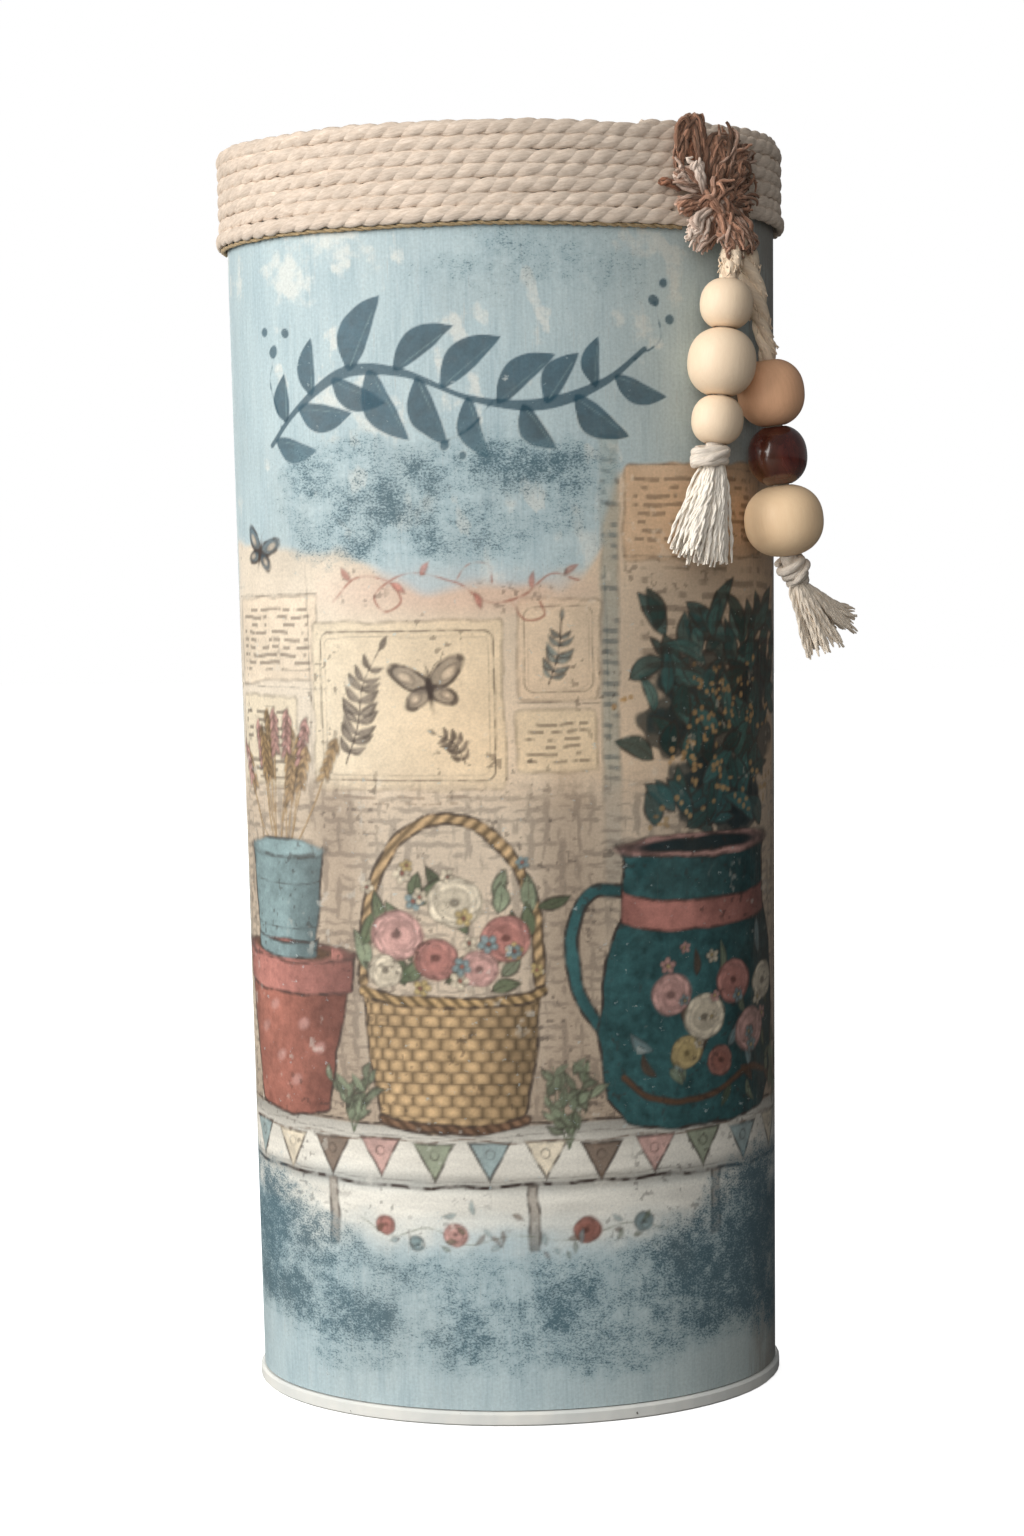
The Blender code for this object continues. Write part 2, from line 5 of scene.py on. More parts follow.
import bmesh
import bpy
import numpy as np
from mathutils import Matrix, Vector
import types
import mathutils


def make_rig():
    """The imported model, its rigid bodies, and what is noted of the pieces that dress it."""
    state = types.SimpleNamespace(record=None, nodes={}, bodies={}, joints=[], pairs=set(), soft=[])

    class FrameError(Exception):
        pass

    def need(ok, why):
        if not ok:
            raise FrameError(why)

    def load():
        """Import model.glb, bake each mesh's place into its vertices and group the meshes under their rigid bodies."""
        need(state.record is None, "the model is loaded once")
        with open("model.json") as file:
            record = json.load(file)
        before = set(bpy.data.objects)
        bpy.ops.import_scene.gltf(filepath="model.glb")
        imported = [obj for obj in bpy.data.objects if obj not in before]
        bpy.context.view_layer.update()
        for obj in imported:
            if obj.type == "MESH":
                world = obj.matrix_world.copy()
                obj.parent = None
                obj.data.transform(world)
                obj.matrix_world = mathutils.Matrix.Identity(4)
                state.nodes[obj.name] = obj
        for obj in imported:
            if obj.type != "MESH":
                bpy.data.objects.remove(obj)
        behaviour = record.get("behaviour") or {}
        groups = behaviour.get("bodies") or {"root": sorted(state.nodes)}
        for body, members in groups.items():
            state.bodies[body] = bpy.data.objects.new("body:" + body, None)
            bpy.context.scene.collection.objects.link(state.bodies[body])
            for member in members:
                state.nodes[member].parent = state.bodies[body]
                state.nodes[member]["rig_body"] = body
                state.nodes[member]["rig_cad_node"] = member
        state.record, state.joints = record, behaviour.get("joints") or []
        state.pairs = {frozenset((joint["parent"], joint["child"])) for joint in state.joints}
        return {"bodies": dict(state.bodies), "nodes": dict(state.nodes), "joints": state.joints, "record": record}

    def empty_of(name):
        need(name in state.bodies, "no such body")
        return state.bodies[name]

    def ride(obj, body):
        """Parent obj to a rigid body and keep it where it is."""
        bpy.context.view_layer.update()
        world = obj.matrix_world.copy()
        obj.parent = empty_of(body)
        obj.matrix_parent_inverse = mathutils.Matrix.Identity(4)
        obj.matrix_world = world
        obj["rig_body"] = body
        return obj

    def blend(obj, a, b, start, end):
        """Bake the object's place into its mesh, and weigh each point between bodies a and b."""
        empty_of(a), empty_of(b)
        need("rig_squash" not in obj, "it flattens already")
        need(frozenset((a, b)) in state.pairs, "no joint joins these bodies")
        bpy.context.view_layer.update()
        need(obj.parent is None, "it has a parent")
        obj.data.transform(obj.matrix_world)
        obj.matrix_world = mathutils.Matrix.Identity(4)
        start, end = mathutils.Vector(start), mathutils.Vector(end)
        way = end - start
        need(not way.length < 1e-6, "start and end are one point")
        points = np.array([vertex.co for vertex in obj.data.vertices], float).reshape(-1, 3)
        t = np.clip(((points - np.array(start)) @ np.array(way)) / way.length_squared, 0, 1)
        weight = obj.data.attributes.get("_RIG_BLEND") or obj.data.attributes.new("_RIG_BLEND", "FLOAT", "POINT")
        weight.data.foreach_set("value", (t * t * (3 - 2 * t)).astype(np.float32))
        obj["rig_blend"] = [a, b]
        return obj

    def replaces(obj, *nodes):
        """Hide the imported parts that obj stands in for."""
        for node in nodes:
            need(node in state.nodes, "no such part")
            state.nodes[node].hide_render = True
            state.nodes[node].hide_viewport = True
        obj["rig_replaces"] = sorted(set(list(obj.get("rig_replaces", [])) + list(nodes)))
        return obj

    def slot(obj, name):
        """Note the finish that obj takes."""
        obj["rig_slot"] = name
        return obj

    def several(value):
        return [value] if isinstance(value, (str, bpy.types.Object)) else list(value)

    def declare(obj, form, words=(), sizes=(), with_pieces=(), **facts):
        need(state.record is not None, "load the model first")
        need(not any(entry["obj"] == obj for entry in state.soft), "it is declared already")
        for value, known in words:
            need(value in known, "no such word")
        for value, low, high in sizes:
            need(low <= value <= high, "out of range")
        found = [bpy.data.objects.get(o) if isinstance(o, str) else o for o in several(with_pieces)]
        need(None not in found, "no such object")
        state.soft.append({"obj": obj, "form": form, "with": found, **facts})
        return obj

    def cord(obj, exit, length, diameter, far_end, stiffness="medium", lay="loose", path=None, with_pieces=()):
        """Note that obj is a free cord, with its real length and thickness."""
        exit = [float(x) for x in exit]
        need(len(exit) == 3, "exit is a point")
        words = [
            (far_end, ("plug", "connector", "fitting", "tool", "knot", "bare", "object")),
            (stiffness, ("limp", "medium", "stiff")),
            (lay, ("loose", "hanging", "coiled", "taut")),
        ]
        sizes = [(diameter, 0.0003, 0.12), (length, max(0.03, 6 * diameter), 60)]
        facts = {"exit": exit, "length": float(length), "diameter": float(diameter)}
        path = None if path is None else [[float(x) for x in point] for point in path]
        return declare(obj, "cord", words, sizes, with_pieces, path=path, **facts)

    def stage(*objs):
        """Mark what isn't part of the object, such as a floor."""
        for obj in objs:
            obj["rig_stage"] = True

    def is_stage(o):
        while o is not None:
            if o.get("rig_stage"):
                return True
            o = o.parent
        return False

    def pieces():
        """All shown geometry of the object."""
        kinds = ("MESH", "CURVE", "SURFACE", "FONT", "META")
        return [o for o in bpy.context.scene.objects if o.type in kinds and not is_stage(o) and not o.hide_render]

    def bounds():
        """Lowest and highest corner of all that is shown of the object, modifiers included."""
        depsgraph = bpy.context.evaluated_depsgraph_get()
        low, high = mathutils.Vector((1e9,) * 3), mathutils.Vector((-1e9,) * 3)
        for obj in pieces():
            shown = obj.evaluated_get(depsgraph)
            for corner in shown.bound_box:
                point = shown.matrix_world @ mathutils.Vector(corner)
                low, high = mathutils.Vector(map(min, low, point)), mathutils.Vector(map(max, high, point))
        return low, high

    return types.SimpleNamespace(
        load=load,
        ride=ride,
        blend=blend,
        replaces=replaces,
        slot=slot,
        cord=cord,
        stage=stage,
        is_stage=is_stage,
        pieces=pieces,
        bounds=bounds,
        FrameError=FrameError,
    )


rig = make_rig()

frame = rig.load()
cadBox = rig.bounds()
mm = 0.001
pi = math.pi
fullTurn = 2 * pi


# shared helpers: the oval wall, curves, node trees and meshes

wall = {"baseHalfWidth": 82 * mm, "baseHalfDepth": 56 * mm, "widthFlare": 3 * mm, "depthFlare": 2 * mm,
        "rimHeight": 380.5 * mm, "sleeveLow": 4.6 * mm, "sleeveHigh": 366.5 * mm}


def wallAxes(height):
    share = height / wall["rimHeight"]
    wide, deep = wall["widthFlare"] * share, wall["depthFlare"] * share
    return wall["baseHalfWidth"] + wide, wall["baseHalfDepth"] + deep


def unit(v):
    return v / np.maximum(np.linalg.norm(v, axis=-1, keepdims=True), 1e-12)


# points on the wall for arrays of angles, heights and distances out from it
def onWall(angle, height, standoff=0.0):
    angle, height, standoff = np.broadcast_arrays(*(np.asarray(x, float) for x in (angle, height, standoff)))
    halfWidth, halfDepth = wallAxes(height)
    c, s = np.cos(angle), np.sin(angle)
    out = unit(np.stack([c / halfWidth, s / halfDepth], -1)) * standoff[..., None]
    return np.concatenate([np.stack([halfWidth * c, halfDepth * s], -1) + out, height[..., None]], -1)


def smooth(low, high, value):
    share = np.clip((value - low) / (high - low), 0, 1)
    return share * share * (3 - 2 * share)


# a smooth curve through a few points
def bowed(points, steps=12):
    p = np.asarray(points, float)
    ends = np.vstack([2 * p[0] - p[1], p, 2 * p[-1] - p[-2]])
    fine = []
    for k in range(len(p) - 1):
        a, b, c, d = ends[k:k + 4]
        t = np.linspace(0, 1, steps, endpoint=k == len(p) - 2)[:, None]
        curve = 2 * b + (c - a) * t + (2 * a - 5 * b + 4 * c - d) * t ** 2 + (3 * b - a - 3 * c + d) * t ** 3
        fine.append(0.5 * curve)
    return np.vstack(fine)


# the same with its points evenly spaced
def smoothLine(points, count):
    fine = bowed(points, 24)
    run = np.concatenate([[0], np.cumsum(np.linalg.norm(np.diff(fine, axis=0), axis=1))])
    at = np.linspace(0, run[-1], count)
    return np.stack([np.interp(at, run, fine[:, k]) for k in range(3)], 1)


# a node's output, with arithmetic that adds the nodes of a formula
class Field:
    def __init__(self, tree, socket):
        self.tree = tree
        self.socket = socket

    def other(self, label):
        return Field(self.tree, self.socket.node.outputs[label])

    def join(self, operation, value):
        if self.socket.type not in ("VECTOR", "RGBA"):
            return maths(operation, self, value)
        if operation == "MULTIPLY" and not isinstance(value, tuple):
            return addNode(self.tree, "ShaderNodeVectorMath", {0: self, "Scale": value}, operation="SCALE")
        return addNode(self.tree, "ShaderNodeVectorMath", {0: self, 1: value}, operation=operation)

    def __add__(self, value):
        return self.join("ADD", value)

    def __sub__(self, value):
        return self.join("SUBTRACT", value)

    def __mul__(self, value):
        return self.join("MULTIPLY", value)

    def __truediv__(self, value):
        return self.join("DIVIDE", value)


# sets an input, or links another node's output to it
def feed(socket, value):
    if isinstance(value, Field):
        value.tree.links.new(value.socket, socket)
    elif value is not None:
        socket.default_value = (*value, 1) if socket.type == "RGBA" else value


# a node with its settings and its inputs by name or number; gives one of its outputs
def addNode(tree, kind, inputs=None, output=0, **settings):
    node = tree.nodes.new(kind)
    for key, value in settings.items():
        setattr(node, key, value)
    for key, value in (inputs or {}).items():
        feed(node.inputs[key], value)
    return Field(tree, node.outputs[output])


def maths(operation, *values, clamp=False):
    tree = next(x.tree for x in values if isinstance(x, Field))
    return addNode(tree, "ShaderNodeMath", dict(enumerate(values)), operation=operation, use_clamp=clamp)


# a value carried from one range to another, held at its ends
def remap(value, low, high, toLow=0.0, toHigh=1.0, way="LINEAR"):
    inputs = {"Value": value, "From Min": low, "From Max": high, "To Min": toLow, "To Max": toHigh}
    return addNode(value.tree, "ShaderNodeMapRange", inputs, interpolation_type=way)


def mixColour(amount, first, second):
    return addNode(amount.tree, "ShaderNodeMix", {0: amount, 6: first, 7: second}, 2, data_type="RGBA")


# noise at one scale, or at one for each axis
def noiseOf(place, scale, detail=3.0, rough=0.55, distort=0.0):
    if isinstance(scale, tuple):
        place, scale = place * scale, 1.0
    inputs = {"Vector": place, "Scale": scale, "Detail": detail, "Roughness": rough, "Distortion": distort}
    return addNode(place.tree, "ShaderNodeTexNoise", inputs)


def attributeOf(tree, name, kind="Fac"):
    return addNode(tree, "ShaderNodeAttribute", None, kind, attribute_name=name)


socketKinds = {type(None): "Geometry", float: "Float", int: "Int", bool: "Bool"}


def newTree(name, kind, inputs, outputs):
    tree = bpy.data.node_groups.new(name, kind)
    for way, values in (("INPUT", inputs), ("OUTPUT", outputs)):
        for label, value in values.items():
            socketKind = "NodeSocket" + socketKinds[type(value)]
            socket = tree.interface.new_socket(label, in_out=way, socket_type=socketKind)
            if value is not None:
                socket.default_value = value
    give = {socket.name: Field(tree, socket) for socket in tree.nodes.new("NodeGroupInput").outputs}
    return tree, give, tree.nodes.new("NodeGroupOutput").inputs


def newMaterial(name, plain):
    material = bpy.data.materials.new(name)
    material.use_nodes = True
    shader = material.node_tree.nodes["Principled BSDF"].inputs
    for label, value in plain.items():
        feed(shader[label], value)
    return material, material.node_tree, shader


def finishMaterial(shader, colour, roughness, height, strength, distance):
    inputs = {"Strength": strength, "Distance": distance, "Height": height}
    bump = addNode(colour.tree, "ShaderNodeBump", inputs, "Normal")
    for label, value in (("Base Color", colour), ("Roughness", roughness), ("Normal", bump)):
        feed(shader[label], value)


def addObject(name, data):
    added = bpy.data.objects.new(name, data)
    bpy.context.scene.collection.objects.link(added)
    return added


def addPiece(name, mesh, material):
    mesh.name = name
    mesh.materials.clear()
    mesh.materials.append(material)
    return addObject(name, mesh)


def meshOf(name, points, faces):
    mesh = bpy.data.meshes.new(name)
    mesh.from_pydata(points.tolist(), [], faces)
    mesh.shade_smooth()
    return mesh


def storeValues(mesh, name, values, kind="FLOAT"):
    attribute = mesh.attributes.new(name, kind, "POINT")
    field = {"FLOAT": "value", "FLOAT_VECTOR": "vector", "FLOAT_COLOR": "color"}[kind]
    attribute.data.foreach_set(field, np.asarray(values, np.float32).ravel())


# the body that a piece rides on, its material slot and the nodes that it stands for
def standFor(piece, body, slot, *nodes):
    if body:
        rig.ride(piece, body)
    if nodes:
        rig.replaces(piece, *nodes)
    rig.slot(piece, slot)


# geometry nodes: plied yarn along guide lines

plyInputs = {"Geometry": None, "Step Length": 1 * mm, "Twist Pitch": 17 * mm, "Ply Offset": 1 * mm,
             "Ply Radius": 1 * mm, "Unevenness": 0.15, "Wander": 0.0, "Wander Scale": 120.0,
             "Section Points": 8, "Level Lines": False, "Start Length": 0.0, "Seed": 1}


# The guide lines are resampled, each ply winds round them and becomes a tube with a soft oval section.
# along, tone, pale and round are stored for the fibre's own pattern.
def plyTree(name, plies):
    tree, give, sink = newTree(name, "GeometryNodeTree", plyInputs, {"Geometry": None})

    def node(kind, inputs=None, output=0, **settings):
        return addNode(tree, kind, inputs, output, **settings)

    def store(geometry, label, value, kind):
        inputs = {"Geometry": geometry, "Name": label, "Value": value}
        return node("GeometryNodeStoreNamedAttribute", inputs, data_type=kind, domain="POINT")

    inputs = {"Curve": give["Geometry"], "Length": give["Step Length"]}
    lines = node("GeometryNodeResampleCurve", inputs, mode="LENGTH")
    least = node("GeometryNodeSetCurveNormal", {"Curve": lines}, mode="MINIMUM_TWIST")
    level = node("GeometryNodeSetCurveNormal", {"Curve": lines}, mode="Z_UP")
    inputs = {"Switch": give["Level Lines"], 1: least, 2: level}
    chosen = node("GeometryNodeSwitch", inputs, input_type="GEOMETRY")
    length = node("GeometryNodeSplineParameter", output="Length") + give["Start Length"]
    tilt = node("GeometryNodeInputCurveTilt")
    lineIndex = node("GeometryNodeCurveOfPoint", output="Curve Index")
    normal = node("GeometryNodeInputNormal", output="Normal")
    tangent = node("GeometryNodeInputTangent")
    side = node("ShaderNodeVectorMath", {0: tangent, 1: normal}, operation="CROSS_PRODUCT")
    place = node("GeometryNodeInputPosition")
    radius = node("GeometryNodeInputRadius")
    tubes = tree.nodes.new("GeometryNodeJoinGeometry")
    for ply in range(plies):
        inputs = {"ID": lineIndex, "Seed": give["Seed"] + ply * 17.0}
        tone = node("FunctionNodeRandomValue", inputs, 1, data_type="FLOAT")
        shift = tone * 40.0
        spot = node("ShaderNodeCombineXYZ", {"X": length * 190.0, "Y": shift, "Z": float(ply)})
        stray = noiseOf(spot, 1.0, 1.0)
        angle = (length / give["Twist Pitch"] + ply / plies + stray * 0.26) * fullTurn
        outward = normal * maths("COSINE", angle) + side * maths("SINE", angle)
        inputs = {"Vector": place, "W": shift, "Scale": give["Wander Scale"], "Detail": 1.0}
        drift = node("ShaderNodeTexNoise", inputs, "Color", noise_dimensions="4D") - (0.5, 0.5, 0.5)
        off = outward * (give["Ply Offset"] * radius) + drift * give["Wander"]
        moved = node("GeometryNodeSetPosition", {"Geometry": chosen, "Offset": off})
        for label, value in (("along", length), ("tone", tone), ("pale", tilt)):
            moved = store(moved, label, value, "FLOAT")
        swell = maths("MULTIPLY_ADD", stray - 0.5, give["Unevenness"], 1.0)
        ring = node("GeometryNodeCurvePrimitiveCircle",
                    {"Resolution": give["Section Points"], "Radius": 1.0})
        tube = node("GeometryNodeCurveToMesh",
                    {"Curve": moved, 1: store(ring, "round", place, "FLOAT_VECTOR"),
                                                3: True, "Scale": give["Ply Radius"] * swell * radius})
        tree.links.new(tube.socket, tubes.inputs[0])
    feed(sink[0], node("GeometryNodeSetShadeSmooth", {"Geometry": Field(tree, tubes.outputs[0])}))
    return tree


plyTrees = {count: plyTree(f"plied yarn {count}", count) for count in (1, 2, 3)}


# plied yarn along lines as plain mesh; radii are shares of the yarn's own radius, and a point's tilt carries
# how pale the fibre is there
def spin(name, lines, plies, material, settings, seed, radii=None, pales=None):
    data = bpy.data.curves.new(name, "CURVE")
    data.dimensions = "3D"
    for index, line in enumerate(lines):
        spline = data.splines.new("POLY")
        spline.points.add(len(line) - 1)
        spline.points.foreach_set("co", np.insert(line, 3, 1, axis=1).astype(np.float32).ravel())
        share = radii[index] if radii else np.ones(len(line))
        spline.points.foreach_set("radius", np.asarray(share, np.float32))
        if pales:
            spline.points.foreach_set("tilt", np.asarray(pales[index], np.float32))
    guides = addObject(name, data)
    modifier = guides.modifiers.new("plied yarn", "NODES")
    modifier.node_group = plyTrees[plies]
    items = plyTrees[plies].interface.items_tree
    labels = {item.name: item.identifier for item in items if item.in_out == "INPUT"}
    for key, value in {**settings, "Seed": seed}.items():
        modifier[labels[key]] = value
    bpy.context.view_layer.update()
    graph = bpy.context.evaluated_depsgraph_get()
    mesh = bpy.data.meshes.new_from_object(guides.evaluated_get(graph), depsgraph=graph)
    bpy.data.objects.remove(guides)
    return addPiece(name, mesh, material)


# camera, at the photograph's place and angle

eye = {"place": (0.013776, -0.757298, 0.249905), "right": (0.999714, 0.015782, -0.017951),
       "up": (0.016722, 0.074833, 0.997056), "back": (0.017079, -0.997071, 0.074547),
       "lens": 56.209, "sensor": 36.0, "near": 0.05, "far": 20.0}
camera = addObject("view camera", bpy.data.cameras.new("view camera"))
camera.data.lens = eye["lens"]
camera.data.sensor_width = eye["sensor"]
camera.data.clip_start = eye["near"]
camera.data.clip_end = eye["far"]
facing = Matrix((eye["right"], eye["up"], eye["back"])).transposed().to_4x4()
camera.matrix_world = Matrix.Translation(eye["place"]) @ facing
bpy.context.scene.camera = camera
print("camera ready")


# finishes of cotton, jute and wood

# streaks that run along a yarn, from the values that the ply tree stores
def fibreGroup():
    tree, give, sink = newTree("fibre streaks", "ShaderNodeTree",
                               {"Fineness": 3.0, "Run": 260.0, "Slant": 0.0},
                               {"Streak": 0.0, "Clump": 0.0, "Tone": 0.0})
    along = attributeOf(tree, "along")
    tone = attributeOf(tree, "tone")
    inputs = {"Vector": attributeOf(tree, "round", "Vector"), "Angle": along * give["Slant"]}
    ring = addNode(tree, "ShaderNodeVectorRotate", inputs, rotation_type="Z_AXIS")
    inputs = {"X": tone * 37.0, "Y": tone * 91.0, "Z": along * give["Run"]}
    spot = ring * give["Fineness"] + addNode(tree, "ShaderNodeCombineXYZ", inputs)
    clump = noiseOf(spot * (0.3, 0.3, 0.45), 1.3, 1.0)
    for socket, value in zip(sink, (noiseOf(spot, 1.6, 3.0, 0.65), clump, tone)):
        feed(socket, value)
    return tree


fibreStreaks = fibreGroup()


def yarnMaterial(name, light, dark, pale=None, fineness=2.6, run=300.0, slant=0.0, bump=0.5,
                 tones=(0.82, 1.1), sheen=0.35):
    material, tree, shader = newMaterial(name, {
        "Roughness": 0.92, "Specular IOR Level": 0.2, "Sheen Weight": sheen, "Sheen Roughness": 0.6,
        "Sheen Tint": (1.0, 0.88, 0.74)})
    inputs = {"Fineness": fineness, "Run": run, "Slant": slant}
    streak = addNode(tree, "ShaderNodeGroup", inputs, "Streak", node_tree=fibreStreaks)
    clump, tone = streak.other("Clump"), streak.other("Tone")
    colour = mixColour(remap(streak, 0.32, 0.68), dark, light)
    colour = colour * (remap(tone, 0.0, 1.0, *tones) * remap(clump, 0.3, 0.7, 0.86, 1.08))
    paleShare = attributeOf(tree, "pale")
    if pale:
        colour = mixColour(remap(paleShare + (streak - 0.5), 0.25, 0.75), colour, pale)
    height = streak * maths("SUBTRACT", 1.0, paleShare)
    finishMaterial(shader, colour, None, height, bump, 0.35 * mm)
    return material


cottonCord = yarnMaterial("soft cotton cord", (0.90, 0.75, 0.58), (0.72, 0.57, 0.42), None, 2.4, 300.0,
                          260.0)
cottonYarn = yarnMaterial("cream cotton yarn", (0.99, 0.94, 0.85), (0.97, 0.90, 0.80), None, 1.6, 160.0,
                          500.0, 0.2, (0.97, 1.0), 1.0)
greyYarn = yarnMaterial("unbleached cotton yarn", (0.98, 0.88, 0.75), (0.88, 0.76, 0.62), None, 1.6, 160.0,
                        500.0, 0.2, (0.92, 1.0), 0.9)
knotCotton = yarnMaterial("wrapped cotton", (0.95, 0.87, 0.77), (0.72, 0.62, 0.52), None, 5.5, 420.0, 300.0,
                          0.9)
ropeCotton = yarnMaterial("twisted cotton rope", (0.82, 0.70, 0.59), (0.62, 0.50, 0.40), None, 2.6, 330.0)
strawTwine = yarnMaterial("straw twine", (0.60, 0.45, 0.25), (0.20, 0.14, 0.075), None, 2.6, 420.0, 700.0)
tuftFibres = yarnMaterial("brown jute tow", (0.47, 0.255, 0.165), (0.12, 0.048, 0.030), (0.76, 0.63, 0.54),
                          2.2, tones=(0.38, 1.6))
rustFibres = yarnMaterial("rusty jute tow", (0.36, 0.15, 0.08), (0.10, 0.036, 0.020), (0.55, 0.33, 0.24),
                          2.2, tones=(0.6, 1.3))


# turned wood: growth bands across the bead, fine pores and dents along its axis, darker at the bore
def woodMaterial(name, pale, deep, bandShare):
    material, tree, shader = newMaterial(name, {
        "Specular IOR Level": 0.35, "Coat Weight": 0.06, "Coat Roughness": 0.35})
    grain = attributeOf(tree, "grain", "Vector")
    inputs = {"Vector": grain, "Scale": 70.0, "Detail": 1.0}
    bent = grain + addNode(tree, "ShaderNodeTexNoise", inputs, "Color") * 0.006
    inputs = {"Vector": bent * (1.0, 1.0, 0.12), "Scale": 190.0, "Distortion": 1.6, "Detail": 2.0}
    bands = addNode(tree, "ShaderNodeTexWave", inputs, "Fac", wave_type="BANDS", bands_direction="X")
    pores = noiseOf(grain, (2600.0, 2600.0, 260.0), 2.0, 0.7)
    dents = noiseOf(grain, (900.0, 900.0, 240.0), 2.0, 0.6)
    soft = noiseOf(grain, (90.0, 90.0, 40.0), 2.0)
    amount = bands * bandShare + remap(pores, 0.35, 0.7) * 0.30
    amount = maths("ADD", amount, remap(soft, 0.35, 0.7, 0.0, 0.35), clamp=True)
    bore = attributeOf(tree, "mouth") * 0.5
    colour = mixColour(bore, mixColour(amount, pale, deep), tuple(x * 0.55 for x in deep))
    marks = pores * 0.5 + remap(dents, 0.40, 0.62)
    finishMaterial(shader, colour, remap(pores, 0.3, 0.7, 0.44, 0.58), marks, 0.22, 0.10 * mm)
    return material


# dark red-brown glaze with faint cloudy streaks under a clear coat
def glazeMaterial():
    material, tree, shader = newMaterial("dark glaze", {
        "Specular IOR Level": 0.5, "Coat Weight": 1.0, "Coat Roughness": 0.14})
    grain = attributeOf(tree, "grain", "Vector")
    cloud = noiseOf(grain, (160.0, 160.0, 60.0), 4.0, 0.6, 0.6)
    warm = noiseOf(grain, (60.0, 60.0, 60.0), 1.0)
    colour = mixColour(remap(cloud, 0.38, 0.68), (0.050, 0.009, 0.007), (0.125, 0.024, 0.016))
    colour = mixColour(remap(warm, 0.52, 0.72, 0.0, 0.5), colour, (0.11, 0.045, 0.012))
    finishMaterial(shader, colour, remap(cloud, 0.3, 0.7, 0.18, 0.3), cloud, 0.05, 0.15 * mm)
    return material


paleWood = woodMaterial("pale turned wood", (0.88, 0.71, 0.52), (0.80, 0.60, 0.42), 0.05)
warmWood = woodMaterial("warm turned wood", (0.86, 0.50, 0.30), (0.72, 0.40, 0.23), 0.12)
sandWood = woodMaterial("sandy turned wood", (0.98, 0.73, 0.47), (0.90, 0.62, 0.37), 0.10)
darkGlaze = glazeMaterial()


# bead strands; each bead has its centre, width and height

strands = [{
    "side": "left", "length": 62.6 * mm, "exit": (0.069696, -0.044359, 0.3473),
    "pivot": (0.067563, -0.048308, 0.3414), "down": (-0.094417, -0.050698, -0.994241),
    "route": [(0.0699, -0.0448, 0.3512), (0.0688, -0.0464, 0.3462), (0.067563, -0.048308, 0.3414),
              (0.067299, -0.04845, 0.338616), (0.062786, -0.050873, 0.291091)],
    "beads": [("upper", (0.066633, -0.048807, 0.331607), 15.6 * mm, 14.1 * mm, paleWood),
              ("middle", (0.065024, -0.049672, 0.314655), 20.1 * mm, 19.4 * mm, paleWood),
              ("lower", (0.063433, -0.050526, 0.297902), 15.3 * mm, 13.7 * mm, paleWood)],
}, {
    "side": "right", "length": 95.6 * mm, "exit": (0.073972, -0.04015, 0.3473),
    "pivot": (0.079293, -0.03645, 0.319), "down": (0.097506, 0.043585, -0.99428),
    "route": [(0.0722, -0.0423, 0.3510), (0.0735, -0.0410, 0.3440), (0.0767, -0.0384, 0.3320),
              (0.079293, -0.03645, 0.319), (0.079566, -0.036328, 0.316216), (0.085241, -0.033792, 0.258349)],
    "beads": [("upper", (0.080512, -0.035905, 0.306572), 19.9 * mm, 19.4 * mm, warmWood),
              ("dark", (0.082326, -0.035095, 0.288078), 17.8 * mm, 17.2 * mm, darkGlaze),
              ("lower", (0.084217, -0.034249, 0.268789), 23.7 * mm, 21.0 * mm, sandWood)],
}]
cordYarn = {"Step Length": 0.8 * mm, "Twist Pitch": -26 * mm, "Ply Offset": 1.2 * mm,
            "Ply Radius": 1.45 * mm, "Unevenness": 0.55, "Section Points": 12}
hairYarn = {"Step Length": 0.6 * mm, "Ply Offset": 0.0, "Ply Radius": 0.22 * mm, "Unevenness": 0.6,
            "Section Points": 5}
cordLook = {"diameter": 5 * mm, "points": 32, "swell": 0.42, "hairs": 90, "hairsAway": 2.8 * mm,
            "hairReach": 2.6 * mm}


# axes of a strand: X along the wall to the right, Y into the wall, Z up the strand
def strandAxes(strand):
    up = -Vector(strand["down"])
    halfWidth, halfDepth = 0.085, 0.058
    inward = -Vector((strand["pivot"][0] / halfWidth ** 2, strand["pivot"][1] / halfDepth ** 2,
                      0)).normalized()
    across = inward.cross(up).normalized()
    return np.array([across, up.cross(across), up])


# points of a strand's own axes carried to the row frame; distances run down the strand from its pivot
def strandPoints(strand, *local):
    return np.stack(local, 1) @ strandAxes(strand) + np.array(strand["pivot"])


# short loose hairs that leave a yarn's surface and bend down along it
def hairLines(line, count, away, reach, seed):
    rng = np.random.default_rng(seed)
    t = np.linspace(0, 1, 6)[:, None]
    hairs = []
    for _ in range(count):
        index = rng.integers(1, len(line) - 2)
        piece = line[index + 1] - line[index]
        spot = line[index] + piece * rng.random()
        along = unit(piece)
        out = unit(np.cross(along, rng.normal(size=3)))
        way = rng.choice((-1, 1)) if rng.random() < 0.3 else 1
        length = rng.uniform(0.5, 1) * reach
        start = spot + out * (away * rng.uniform(0.7, 1.0) + 0.35 * length * t ** 0.7)
        aside = np.cross(along, out) * length * rng.normal(0, 0.35) * t ** 1.5
        hairs.append(start + along * way * length * t + aside)
    return hairs


